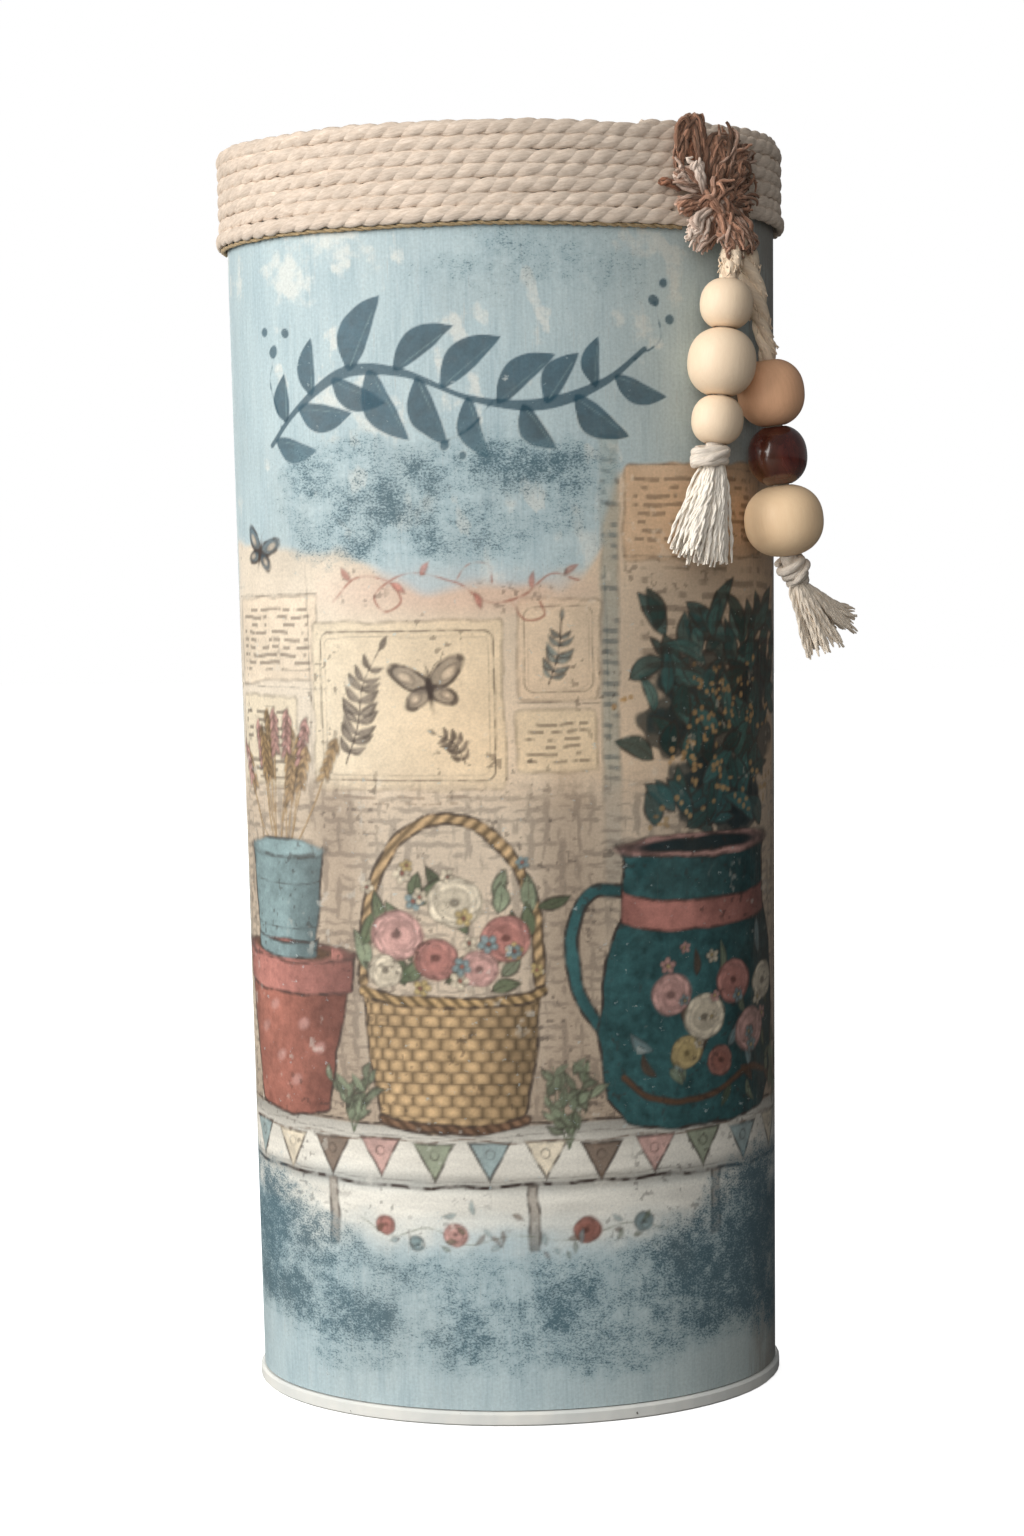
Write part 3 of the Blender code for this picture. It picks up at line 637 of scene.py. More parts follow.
# the cord with its loose hairs joined to it
def makeCord(strand, seed):
    name = strand["side"] + "CottonCord"
    line = smoothLine(strand["route"], cordLook["points"])
    beadTop = strand["beads"][0][1][2] + strand["beads"][0][3] / 2
    swell = 1 + cordLook["swell"] * smooth(beadTop, strand["exit"][2] + 2 * mm, line[:, 2])
    cord = spin(name, [line], 3, cottonCord, cordYarn, seed, [swell])
    bare = line[line[:, 2] > beadTop]
    hairs = hairLines(bare, cordLook["hairs"], cordLook["hairsAway"], cordLook["hairReach"], seed)
    fuzz = spin(name + "Fuzz", hairs, 1, cottonCord, hairYarn, seed, None, [np.ones(len(x)) for x in hairs])
    work = bmesh.new()
    work.from_mesh(cord.data)
    work.from_mesh(fuzz.data)
    work.to_mesh(cord.data)
    work.free()
    bpy.data.objects.remove(fuzz)
    return line, cord


for strand, seed in zip(strands, (3, 8)):
    strand["line"], strand["cord"] = makeCord(strand, seed)
print("cords ready")


woodLook = {"around": 64, "steps": 40, "bore": 2.8 * mm, "chamfer": 0.55 * mm, "roundness": 2.25,
            "uneven": 0.006}


# half-outline of a bead with a softened mouth, then its bore
def beadOutline(width, height):
    bore, chamfer, power = woodLook["bore"], woodLook["chamfer"], woodLook["roundness"]
    share = 2 * (bore + chamfer) / width
    full = height / 2 / (1 - share ** power) ** (1 / power)
    first = math.acos(share ** (power / 2))
    outline = []
    for step in range(woodLook["steps"] + 1):
        angle = first * (1 - 2 * step / woodLook["steps"])
        rise = full * abs(math.sin(angle)) ** (2 / power)
        outline.append((width / 2 * math.cos(angle) ** (2 / power), math.copysign(rise, angle)))
    for end, turns in ((-1, (0.35, 0.7, 1.0)), (1, (1.0, 0.7, 0.35))):
        for turn in turns:
            inward, rise = chamfer * math.sin(turn * pi / 2), chamfer * (1 - math.cos(turn * pi / 2))
            outline.append((bore + chamfer - inward, end * (height / 2 - rise)))
    return np.array(outline)


def makeBead(strand, word, centre, width, height, material, seed):
    rng = np.random.default_rng(seed)
    outline = beadOutline(width, height)
    turns = np.arange(woodLook["around"]) * fullTurn / woodLook["around"]
    waves = [(rng.uniform(-1, 1), rng.uniform(0, fullTurn), k) for k in (2, 3, 5)]
    uneven = 1 + woodLook["uneven"] * sum(a * np.cos(k * turns + p) for a, p, k in waves)
    radius = np.where(outline[:, :1] > woodLook["bore"] * 1.3, outline[:, :1] * uneven, outline[:, :1])
    local = np.stack([radius * np.cos(turns), radius * np.sin(turns), outline[:, 1:] + 0 * turns], -1)
    index = np.arange(local[..., 0].size).reshape(local.shape[:2])
    below = np.roll(index, -1, 0)
    faces = np.stack([index, below, np.roll(below, -1, 1), np.roll(index, -1, 1)], -1).reshape(-1, 4)
    name = strand["side"] + word.capitalize() + "Bead"
    places = local.reshape(-1, 3)
    mesh = meshOf(name, places @ strandAxes(strand) + np.array(centre), faces.tolist())
    storeValues(mesh, "grain", places + np.array([seed * 0.013, seed * 0.007, 0]), "FLOAT_VECTOR")
    mouth = smooth(woodLook["bore"] + 2.2 * mm, woodLook["bore"], np.hypot(places[:, 0], places[:, 1]))
    storeValues(mesh, "mouth", mouth)
    bead = addPiece(name, mesh, material)
    body = strand["side"] + "_" + word
    standFor(bead, body, "dark_glaze" if material is darkGlaze else "turned_wood", body + "_bead")
    return bead


for strand, seed in zip(strands, (11, 14)):
    strand["hung"] = [makeBead(strand, *bead, seed + k) for k, bead in enumerate(strand["beads"])]
print("beads ready")


# wrapped knots and tassels

knotLook = {
    "left": {"from": 50.5 * mm, "length": 7.4 * mm, "halfWidth": 4.7 * mm, "halfDepth": 3.8 * mm,
             "yarn": 1.45 * mm,
             "turns": 3.1, "tilt": 7 * pi / 180, "bend": 0.0, "taper": 0.0, "shift": -1.6 * mm},
    "right": {"from": 61.2 * mm, "length": 10.0 * mm, "halfWidth": 4.0 * mm, "halfDepth": 3.4 * mm,
              "yarn": 1.3 * mm, "turns": 3.6, "tilt": 22 * pi / 180, "bend": 0.55, "taper": 0.42,
              "shift": 0.0},
}
knotYarn = {"Step Length": 0.5 * mm, "Twist Pitch": 15 * mm, "Unevenness": 0.25, "Section Points": 14}


# the cord's own wraps, one bight that crosses them, and the cord's core inside
def makeKnot(strand, seed):
    look = knotLook[strand["side"]]
    start, length, yarn, bend = look["from"], look["length"], look["yarn"], look["bend"]
    turns = np.linspace(0, look["turns"] * fullTurn, 90)
    share = turns / turns[-1]
    taper = 1 - look["taper"] * share
    x = look["shift"] + look["halfWidth"] * taper * np.sin(turns - 0.6)
    y = look["halfDepth"] * taper * np.cos(turns - 0.6)
    z = -(start + yarn + (length - 2 * yarn) * share) + math.tan(look["tilt"]) * x
    wraps = strandPoints(strand, x + bend * share * length * 0.75, y, z)
    t = np.linspace(-1.0, 1.0, 24)
    x = look["shift"] + look["halfWidth"] * 0.95 * np.sin(t * 1.1)
    y = -look["halfDepth"] * np.cos(t * 1.1) - yarn * 0.8
    bight = strandPoints(strand, x + bend * length * 0.35, y, -(start + length * (0.5 - 0.32 * t)))
    core = np.linspace(0, 1, 14)
    z = -(start - 1.0 * mm + (length + 1.5 * mm) * core)
    middle = strandPoints(strand, bend * length * 0.75 * core, 0 * core, z)
    radii = [np.interp(share, [0, 0.05, 0.95, 1], [0.6, 1, 1, 0.6]),
             np.interp(t, [-1, -0.7, 0.7, 1], [0.4, 0.72, 0.72, 0.4]),
             np.full(14, 2.6 * mm / yarn) * (1 - look["taper"] * 0.6 * core)]
    settings = {**knotYarn, "Ply Offset": yarn * 0.22, "Ply Radius": yarn * 0.86}
    return spin(strand["side"] + "WrappedKnot", [wraps, bight, middle], 2, knotCotton, settings, seed, radii)


tasselLook = {
    "left": {"from": 56.6 * mm, "length": 31.0 * mm, "yarns": 120, "fill": 9, "neck": (2.5 * mm, 2.2 * mm),
             "yarn": 0.62 * mm, "bend": (-0.08, -0.13), "fan": 0.27, "depthFan": 0.17, "lean": 0.0,
             "curl": 0.10},
    "right": {"from": 70.0 * mm, "length": 27.5 * mm, "yarns": 90, "fill": 6, "neck": (2.3 * mm, 1.9 * mm),
              "yarn": 0.58 * mm, "bend": (0.62, 0.80), "fan": 0.38, "depthFan": 0.17, "lean": 3.6 * mm,
              "curl": 0.42},
}
tasselYarn = {"Step Length": 0.9 * mm, "Twist Pitch": 8 * mm, "Unevenness": 0.4, "Wander": 0.8 * mm,
              "Wander Scale": 230.0, "Section Points": 6}


# yarns leave the knot together and fan out; those of a clump draw together at its tip
def makeTassel(strand, material, seed):
    look = tasselLook[strand["side"]]
    rng = np.random.default_rng(seed)
    lines, radii = [], []
    clumps = 8
    clumpSide = np.linspace(-1, 1, clumps) + rng.uniform(-0.07, 0.07, clumps)
    clumpLength = 1 - rng.uniform(0, 0.15, clumps)
    points = 20
    t = np.linspace(0, 1, points)
    for k in range(look["yarns"] + look["fill"]):
        fill = k >= look["yarns"]
        clump = rng.integers(clumps)
        across = np.clip(clumpSide[clump], -1, 1) + rng.normal(0, 0.15) * (1 - 0.6 * t)
        if fill:
            across = np.full(points, rng.uniform(-0.55, 0.55))
        deep = rng.choice((-1, 1)) * rng.uniform(0.65, 1.0) * math.sqrt(max(0.08, 1 - 0.85
                                                                            * float(across[0]) ** 2))
        deep = deep * (0.3 if fill else 1)
        length = look["length"] * (0.72 if fill else clumpLength[clump] * rng.uniform(0.88, 1.0))
        first, last = look["bend"]
        wave = rng.normal(0, 0.09) * np.sin(t * rng.uniform(7, 13) + rng.uniform(0, 6))
        fan = across * look["fan"] * (1 - 0.5 * t)
        angle = first + (last - first) * t + fan + wave + look["curl"] * t ** 3 * across
        ripple = rng.normal(0, 0.07) * np.sin(t * 9 + rng.uniform(0, 6))
        depthAngle = deep * look["depthFan"] * (1 - 0.7 * t) + ripple
        steps = [np.sin(angle), np.sin(depthAngle), np.cos(angle)]
        run = [np.concatenate([[0], np.cumsum(s[:-1] * length / (points - 1))]) for s in steps]
        x = look["lean"] + look["neck"][0] * float(across[0]) + run[0]
        lines.append(strandPoints(strand, x, look["neck"][1] * deep + run[1], -look["from"] - run[2]))
        size = 3.2 if fill else rng.uniform(0.8, 1.2)
        radii.append(np.interp(t, [0, 0.15, 0.85, 1], [0.8, 1.0, 0.95, 0.55]) * size)
    settings = {**tasselYarn, "Ply Offset": look["yarn"] * 0.42, "Ply Radius": look["yarn"] * 0.66}
    return spin(strand["side"] + "Tassel", lines, 2, material, settings, seed, radii)


for strand, seed in zip(strands, (21, 22)):
    strand["hung"].append(makeKnot(strand, seed))
for strand, material, seed in zip(strands, (cottonYarn, greyYarn), (23, 24)):
    strand["hung"].append(makeTassel(strand, material, seed))
print("knots and tassels ready")

for strand in strands:
    side, cord = strand["side"], strand["cord"]
    for piece, word in zip(strand["hung"][-2:], ("knot", "tassel")):
        standFor(piece, side + "_strand", "cotton_cord", side + "_" + word)
    turnAt = Vector(strand["pivot"])
    along = (turnAt - Vector(strand["exit"])).normalized()
    reach = 2.5 * mm
    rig.blend(cord, side + "_hanger", side + "_strand",
             start=tuple(turnAt - along * reach), end=tuple(turnAt + Vector(strand["down"]) * reach))
    standFor(cord, None, "cotton_cord", side + "_cord_top", side + "_cord")
    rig.cord(cord, exit=strand["exit"], length=strand["length"], diameter=cordLook["diameter"],
            far_end="knot", stiffness="limp", lay="hanging", path=[tuple(p) for p in strand["line"]],
            with_pieces=strand["hung"])
print("strands hung")


# rope collar and twine

ropeLook = {"rimLift": 2.1 * mm, "pitch": 4.05 * mm, "rollAngle": 72 * pi / 180, "rollTurns": 0.35,
            "rows": 7.055,
            "standoff": 2.45 * mm, "bulge": 1.5 * mm, "bulgeTurns": 0.12, "startAngle": -60 * pi / 180,
            "pointsPerTurn": 160, "flattened": 0.55}
ropeYarn = {"Step Length": 1.3 * mm, "Twist Pitch": -11.8 * mm, "Ply Offset": 0.52 * mm,
            "Ply Radius": 1.92 * mm, "Unevenness": 0.6, "Section Points": 12, "Level Lines": True}
twineLook = {"first": 6.24, "last": ropeLook["rows"] - 0.03, "points": 180, "standoff": 1.3 * mm,
             "drop": 2.05 * mm + 0.62 * mm}
twineYarn = {"Step Length": 1.2 * mm, "Twist Pitch": 6 * mm, "Ply Offset": 0.36 * mm,
             "Ply Radius": 0.42 * mm,
             "Unevenness": 0.9, "Wander": 0.7 * mm, "Wander Scale": 160.0, "Section Points": 8,
             "Level Lines": True}


# the rope stands a little further off the sleeve's lap at the back
def lapRise(angle):
    fromBack = np.abs((angle - pi / 2 + pi) % fullTurn - pi)
    return 0.6 * mm * smooth(30 * pi / 180, 20 * pi / 180, fromBack)


def ropeHeight(turnsDown):
    first = wall["rimHeight"] + ropeLook["rimLift"] - ropeLook["pitch"] * math.cos(ropeLook["rollAngle"])
    return first - ropeLook["pitch"] * (turnsDown - 1)


def ropePoints(turns):
    angle = ropeLook["startAngle"] + fullTurn * turns
    roll = ropeLook["rollAngle"] * np.maximum(0, 1 - turns / ropeLook["rollTurns"])
    bulge = ropeLook["bulge"] * smooth(-ropeLook["bulgeTurns"], 0, turns - ropeLook["rows"] + 1)
    sway = 0.16 * mm * np.sin(turns * 23.0) + 0.12 * mm * np.sin(turns * 61.0 + 1.0)
    height = ropeHeight(turns + 1) + ropeLook["pitch"] * np.cos(roll) + sway
    standoff = ropeLook["standoff"] + lapRise(angle) + bulge - ropeLook["pitch"] * np.sin(roll)
    return onWall(angle, height, standoff)


# presses a mesh towards the wall, as the glued rope is
def pressToWall(mesh, share):
    places = np.empty(len(mesh.vertices) * 3, np.float32)
    mesh.vertices.foreach_get("co", places)
    places = places.reshape(-1, 3).astype(float)
    halfWidth, halfDepth = wallAxes(places[:, 2])
    angle = np.arctan2(places[:, 1] / halfDepth, places[:, 0] / halfWidth)
    near = onWall(angle, places[:, 2])
    outward = unit(onWall(angle, places[:, 2], 1 * mm) - near)
    off = np.sum((places - near) * outward, 1, keepdims=True)
    mesh.vertices.foreach_set("co", (places + outward * off * (share - 1)).astype(np.float32).ravel())
    mesh.update()


for name, first, last in (("ropeUpperRows", 0.0, 3.5), ("ropeLowerRows", 3.5, ropeLook["rows"])):
    turns = np.linspace(first, last, int((last - first) * ropeLook["pointsPerTurn"]) + 1)
    before = np.diff(ropePoints(np.linspace(0, first, 2000)), axis=0)
    settings = {**ropeYarn, "Start Length": float(np.linalg.norm(before, axis=1).sum())}
    piece = spin(name, [ropePoints(turns)], 2, ropeCotton, settings, 5)
    pressToWall(piece.data, ropeLook["flattened"])
    standFor(piece, "vase", "cotton_rope", "rope_wrap")
turns = np.linspace(twineLook["first"], twineLook["last"], twineLook["points"])
angle = ropeLook["startAngle"] + fullTurn * turns
drop = twineLook["drop"] + 0.1 * mm * np.sin(turns * 47.0)
twineLine = onWall(angle, ropeHeight(turns) - drop, twineLook["standoff"] + lapRise(angle))
standFor(spin("strawTwine", [twineLine], 2, strawTwine, twineYarn, 9), "vase", "jute", "jute_twine")
print("rope and twine wound")


# jute tuft, in degrees round the wall, millimetres up and millimetres out from the wall

tuftYarn = {"Step Length": 0.9 * mm, "Ply Offset": 0.0, "Ply Radius": 0.66 * mm, "Unevenness": 1.0,
            "Wander": 2.2 * mm, "Wander Scale": 330.0, "Section Points": 6}
tuftRandom = np.random.default_rng(31)


# fibres that follow a path with their own offsets; spreads, at the start and at the end, are across, up and
# out, pale is for the root and the tip, and the last values are points, curl and the range of sizes
def tuftBundle(path, count, spreadStart, spreadEnd, radius, pale, points, curl, scale=(1, 1)):
    rng = tuftRandom
    path = np.array(path, float)
    centre = path.mean(0)
    t = np.linspace(0, 1, points)
    for _ in range(count):
        own = smoothLine(centre + (path - centre) * rng.uniform(*scale), points)
        pick = unit(rng.normal(size=3)) * rng.uniform(0.1, 1) ** 0.5
        own = own + pick * (np.outer(1 - t, spreadStart) + np.outer(t, spreadEnd))
        for axis in range(3):
            own[:, axis] += rng.normal(0,
                                       curl) * 0.8 * np.sin(t * rng.uniform(4, 14) + rng.uniform(0, 6)) * t
        own[:, 2] = np.maximum(own[:, 2] - 1.2, 3.3)
        reach = int(points * rng.uniform(0.82, 1.0))
        own, share = own[:reach], t[:reach]
        thick = radius * rng.uniform(0.75, 1.25) * np.interp(share / share[-1], [0, 0.1, 0.85, 1],
                                                             [0.8, 1, 0.95, 0.5])
        tip = np.interp(share, [0, 0.55, 1], [pale[0], (pale[0] + pale[1]) / 2, pale[1]]) + rng.normal(0,
                                                                                                       0.12)
        yield onWall(np.radians(own[:, 0]), own[:, 1] * mm, own[:, 2] * mm), thick, np.clip(tip, 0, 1)


tuftRows = {
    "tuftFibres": [
        ([(-46.8, 361, 6.6), (-48.2, 370, 7.6), (-49.2, 379, 8.6), (-50.7, 385, 8.6), (-52.4, 381.5, 7.6),
          (-53.2, 374, 6.6), (-52.6, 368.5, 6.2)], 30, (1.7, 0.8, 1.2), (1.4, 0.8, 1.2), 1, (0.1, 0.05), 20,
         0.9),
        ([(-44.8, 361, 6.6), (-46.4, 368, 8.2), (-46.6, 376, 9.4), (-45, 380.8, 9), (-42.4, 380, 8.2),
          (-41, 375, 7.8), (-42.2, 367, 7.4), (-42.4, 361.5, 6.6)], 44, (1.5, 0.8, 1), (1.6, 1.2, 1), 0.95,
         (0.1, 0.06), 22, 1.1, (0.35, 1.0)),
        ([(-44, 361, 6.8), (-44.5, 369, 8.8), (-41, 376, 8.8), (-37.5, 377.5, 7.6)],
         26, (2.4, 1.4, 1), (2, 2.4, 1.2), 0.95, (0.06, 0.16), 18, 2),
        ([(-42, 362, 6.6), (-41, 370, 7.6), (-38, 376.5, 7.4), (-34.6, 378, 6.2)],
         34, (1.8, 1.2, 0.8), (2.6, 2.6, 1.2), 0.62, (0.03, 0), 18, 2.4),
        ([(-41.5, 362, 6.6), (-38.5, 366, 7.4), (-35.5, 369, 6.4), (-33.2, 367.5, 5.8)],
         30, (1.8, 1.4, 0.8), (1.8, 3.8, 0.9), 0.62, (0.02, 0), 16, 2.4),
        ([(-41, 361, 6.6), (-38, 358.5, 7), (-35.2, 357, 6.4)],
         22, (1.8, 1.4, 0.8), (1.8, 3, 0.9), 0.62, (0, 0), 14, 2.2),
        ([(-44, 362, 6.8), (-47, 357, 7.8), (-50.5, 352.6, 7.6), (-52.8, 350.6, 7)],
         34, (2.6, 1.4, 1.2), (1.2, 3.2, 1.2), 1.05, (0.1, 0.85), 16, 1.2),
        ([(-44, 362, 6.8), (-46.2, 356, 8), (-47.6, 350, 8), (-48.6, 346.4, 7.4)],
         40, (2.6, 1.4, 1.2), (2.8, 2.2, 1.2), 1.05, (0.1, 0.45), 16, 1.6),
        ([(-41, 361.5, 6.8), (-39.4, 359.5, 8.6), (-38.4, 355, 9), (-36.6, 351.2, 8.2), (-34.9, 349.6, 7.2)],
         12, (0.8, 0.5, 0.6), (0.8, 0.9, 0.6), 1, (0.2, 0.55), 16, 0.8),
        ([(-46, 361.5, 6.8), (-49, 361, 8), (-52, 359.6, 7.6), (-54, 358, 6.8)],
         26, (1.8, 1.4, 1), (1, 2.6, 1), 1.05, (0.05, 0.35), 14, 1.4),
        ([(-47, 362.5, 6.6), (-49.6, 365.5, 8), (-52.4, 367.5, 8), (-54.8, 367.8, 7)],
         34, (2, 1.6, 1), (1, 4, 1.1), 1.1, (0.1, 0.55), 14, 1.3),
        ([(-48, 363.5, 7.2), (-49.4, 367, 9), (-50.2, 371, 9.2), (-48.6, 373, 8.6)],
         16, (1.2, 1.2, 0.8), (1.4, 1.6, 0.9), 1.05, (0.5, 0.9), 14, 1.2),
        ([(-47, 359, 8.2), (-45.5, 362, 10.4), (-44, 364.5, 10.4), (-42.4, 368, 9.6)],
         20, (3.4, 1.8, 0.8), (3, 2.2, 0.9), 1, (0.1, 0.2), 14, 1.8),
        ([(-43, 361, 7.4), (-43.6, 370, 9.6), (-42.6, 378.5, 9), (-43.4, 383, 8)],
         26, (2.2, 1.4, 1), (2.6, 2.2, 1.2), 1, (0.06, 0.22), 18, 2),
        ([(-42, 363, 7.8), (-40, 370.5, 9.4), (-37, 374.5, 8.6), (-34.2, 373.5, 7)],
         24, (2, 1.6, 1), (2.2, 3, 1.2), 0.9, (0.04, 0.2), 16, 2.2),
        ([(-42, 360, 7.8), (-39.4, 362, 9.2), (-36.6, 362.5, 8.2), (-34.4, 361, 7)],
         22, (2, 1.6, 1), (2, 3, 1.1), 0.85, (0.04, 0.15), 14, 2),
        ([(-45, 364, 9), (-44, 361, 10.4), (-42, 357.5, 10), (-40.6, 354, 9)],
         22, (3.6, 1.4, 0.8), (3.4, 1.8, 0.9), 1, (0.1, 0.2), 14, 1.6)],
    "tuftFringe": [
        ([(-43.5, 362, 6.8), (-43.4, 356, 9.8), (-43, 349.6, 12.8), (-42.8, 344.8, 12.8)],
         46, (2.6, 1.4, 1.2), (3.2, 2.2, 1.2), 1.05, (0.12, 0.3), 16, 1.6),
        ([(-43, 362, 6.8), (-41.2, 357, 9.6), (-39.4, 351, 12.4), (-38.4, 346, 12.2)],
         42, (2.4, 1.4, 1.2), (2.2, 2.4, 1), 1.05, (0.1, 0.3), 16, 1.6)],
    "tuftRustFibres": [
        ([(-53, 365, 5.8), (-55.4, 365.6, 6.6), (-58.2, 366.6, 5.8)],
         9, (0.6, 1.4, 0.5), (0.6, 1.3, 0.4), 0.9, (0, 0.1), 12, 0.7),
        ([(-49.6, 371.5, 6.6), (-50.9, 376, 7.4), (-51.4, 380, 7.2)],
         14, (1.3, 1.6, 0.6), (0.9, 1.6, 0.6), 1, (0, 0.1), 12, 0.8),
        ([(-38.6, 356, 8.6), (-37.2, 351.2, 8.6), (-35.2, 349.2, 7.6)],
         9, (0.8, 0.8, 0.5), (0.8, 0.9, 0.5), 1.1, (0.1, 0.1), 12, 0.6)],
}


# the tie: three turns of fibre round the tuft's waist
def tieFibres():
    turns = np.linspace(0, 3.2 * fullTurn, 120)
    high = 361.4 + 1.5 * np.sin(turns * 0.5 / 3.2) - 0.9 + 0.5 * np.cos(turns + 1)
    out = np.maximum(6.1 + 2.4 * np.sin(turns), 4.0)
    line = onWall(np.radians(-44.3 + 4.6 * np.cos(turns)), high * mm, out * mm)
    return [(line + np.array([0, 0, shift * mm]), np.full(120, 1.1), np.full(120, 0.12))
            for shift in (0, 0.45, -0.45)]


for name, rows in tuftRows.items():
    fibres = [fibre for row in rows for fibre in tuftBundle(*row)]
    if name == "tuftFibres":
        fibres += tieFibres()
    lines, radii, pales = zip(*fibres)
    material = rustFibres if name == "tuftRustFibres" else tuftFibres
    piece = spin(name, lines, 1, material, tuftYarn, 40, radii, pales)
    if name == "tuftFringe":
        hinge = Vector(strands[0]["exit"])
        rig.blend(piece, "vase", "left_hanger", start=tuple(hinge + Vector((0, 0, 6 * mm))),
                 end=tuple(hinge - Vector((0, 0, 2 * mm))))
    solids = ("tuft_left_loop", "tuft_right_lock", "tuft_cut_ends", "tuft_tie", "tuft_fringe")
    standFor(piece, None if name == "tuftFringe" else "vase", "jute_tow",
             *(solids if name == "tuftFibres" else ()))
print("tuft ready")


# painted and printed skin

# the sheet's picture in washes and pencil line, in millimetres from the front's middle and from the foot

skinLook = {"frontHalf": 115.0, "frontColumns": 461, "frontStrips": 4, "frontRows": 725, "backColumns": 81,
            "backRows": 260, "thickness": 0.3 * mm, "lapReach": 3.0, "lapRise": 0.35 * mm, "lapRamp": 4 * mm,
            "sharpAngle": 40.0}
paints = {name: np.array(values) for name, values in {
    "ground": (0.50, 0.62, 0.66), "paper": (0.76, 0.63, 0.47), "darkPaper": (0.66, 0.49, 0.33),
    "chalk": (0.80, 0.77, 0.68), "pencil": (0.050, 0.034, 0.028), "inkBlue": (0.024, 0.070, 0.100),
    "rose": (0.50, 0.19, 0.15), "blush": (0.66, 0.35, 0.30), "brick": (0.36, 0.125, 0.085),
    "teal": (0.032, 0.120, 0.125), "deepTeal": (0.014, 0.036, 0.042), "mist": (0.24, 0.35, 0.36),
    "straw": (0.48, 0.31, 0.13), "honey": (0.58, 0.38, 0.18), "umber": (0.15, 0.080, 0.042),
    "moss": (0.11, 0.145, 0.075), "sage": (0.24, 0.29, 0.18), "butter": (0.62, 0.46, 0.17),
    "cream": (0.76, 0.65, 0.47), "smoke": (0.22, 0.185, 0.15)}.items()}


def rgb(paint):
    return paints[paint] if isinstance(paint, str) else np.array(paint)


# soft noise over the sheet from a lattice of seeded random numbers
def latticeNoise(x, h, size, seed, octaves=3):
    lattice = np.random.default_rng(seed).random((97, 97))
    total = np.zeros(np.shape(x))
    for octave in range(octaves):
        u, v = x / size * 2 ** octave + 13.7 * octave, h / size * 2 ** octave + 7.3 * octave
        a, b = np.floor(u).astype(int), np.floor(v).astype(int)
        s, t = smooth(0, 1, u - a), smooth(0, 1, v - b)
        rows = [lattice[a % 97, n % 97] * (1 - s) + lattice[(a + 1) % 97, n % 97] * s for n in (b, b + 1)]
        total += (rows[0] * (1 - t) + rows[1] * t) * 0.5 ** octave
    return total / (2 - 0.5 ** (octaves - 1))


def newSheet(low, high, columns, rows):
    paint = np.zeros((rows, columns, 4))
    paint[..., :3] = paints["ground"]
    heights = np.linspace(wall["sleeveLow"], wall["sleeveHigh"], rows) / mm
    return {"x": np.linspace(low, high, columns), "h": heights, "paint": paint}


picture = newSheet(-skinLook["frontHalf"], skinLook["frontHalf"], skinLook["frontColumns"],
                   skinLook["frontRows"])
inks, covers = picture["paint"][..., :3], picture["paint"][..., 3]
strokeSeeds = itertools.count(1)


# the part of the picture inside a box, as slices and as places
def window(box):
    cols = slice(*np.searchsorted(picture["x"], box[:2]))
    rows = slice(*np.searchsorted(picture["h"], box[2:]))
    x, h = np.meshgrid(picture["x"][cols], picture["h"][rows])
    return (rows, cols), x, h


def lay(at, mask, target):
    inks[at] += (target - inks[at]) * mask[..., None]
    covers[at] += (1 - covers[at]) * mask


# a wash of paint inside a shape, with watery tones, a shade of its own and a pencil outline
def wash(box, shape, paint, soft=0.6, outline=0.5, mottle=0.3, strength=1.0, wobble=1.4, shade=None):
    seed = next(strokeSeeds)
    at, x, h = window(box)
    if not x.size:
        return
    bend = latticeNoise(x, h, 7.0, seed, 2) - 0.5
    sway = latticeNoise(x + 40, h - 20, 7.0, seed, 2) - 0.5
    distance = shape(x + wobble * bend, h + wobble * sway)
    grain = latticeNoise(x + 0.6 * h, h - 0.6 * x, 2.3, seed + 2, 2)
    tone = 1 + mottle * (1.3 * latticeNoise(x, h, 11.0, seed + 1) + grain - 1.15)
    if shade:
        tone = tone * shade(x, h)
    lay(at, smooth(soft, -soft, distance) * strength, rgb(paint) * tone[..., None])
    if outline:
        broken = smooth(0.3, 0.62, latticeNoise(x, h, 3.0, seed + 3, 2))
        lay(at, smooth(0.85, 0.2, np.abs(distance + 0.1)) * outline * (0.4 + 0.6 * broken), paints["pencil"])


def pencil(box, shape, width=0.4, strength=0.8, paint="pencil"):
    seed = next(strokeSeeds)
    at, x, h = window(box)
    if not x.size:
        return
    bend = 0.8 * (latticeNoise(x, h, 9.0, seed, 2) - 0.5)
    broken = smooth(0.28, 0.6, latticeNoise(x, h, 2.6, seed + 3, 2))
    mask = smooth(width + 0.4, width - 0.25,
                  np.abs(shape(x + bend, h + bend))) * strength * (0.35 + 0.65 * broken)
    lay(at, mask, rgb(paint))


# shapes are functions that give the distance to an edge, less than nothing inside
def turned(x, h, cx, cy, turn):
    c, s = math.cos(turn), math.sin(turn)
    return (x - cx) * c + (h - cy) * s, (h - cy) * c - (x - cx) * s


def oval(cx, cy, rx, ry, turn=0.0):
    def distance(x, h):
        u, v = turned(x, h, cx, cy, turn)
        return (np.hypot(u / rx, v / ry) - 1) * min(rx, ry)
    return distance


def slab(cx, cy, halfWide, halfHigh, corner=1.0, turn=0.0):
    def distance(x, h):
        u, v = turned(x, h, cx, cy, turn)
        u, v = np.abs(u) - halfWide + corner, np.abs(v) - halfHigh + corner
        return np.hypot(np.maximum(u, 0), np.maximum(v, 0)) + np.minimum(np.maximum(u, v), 0) - corner
    return distance


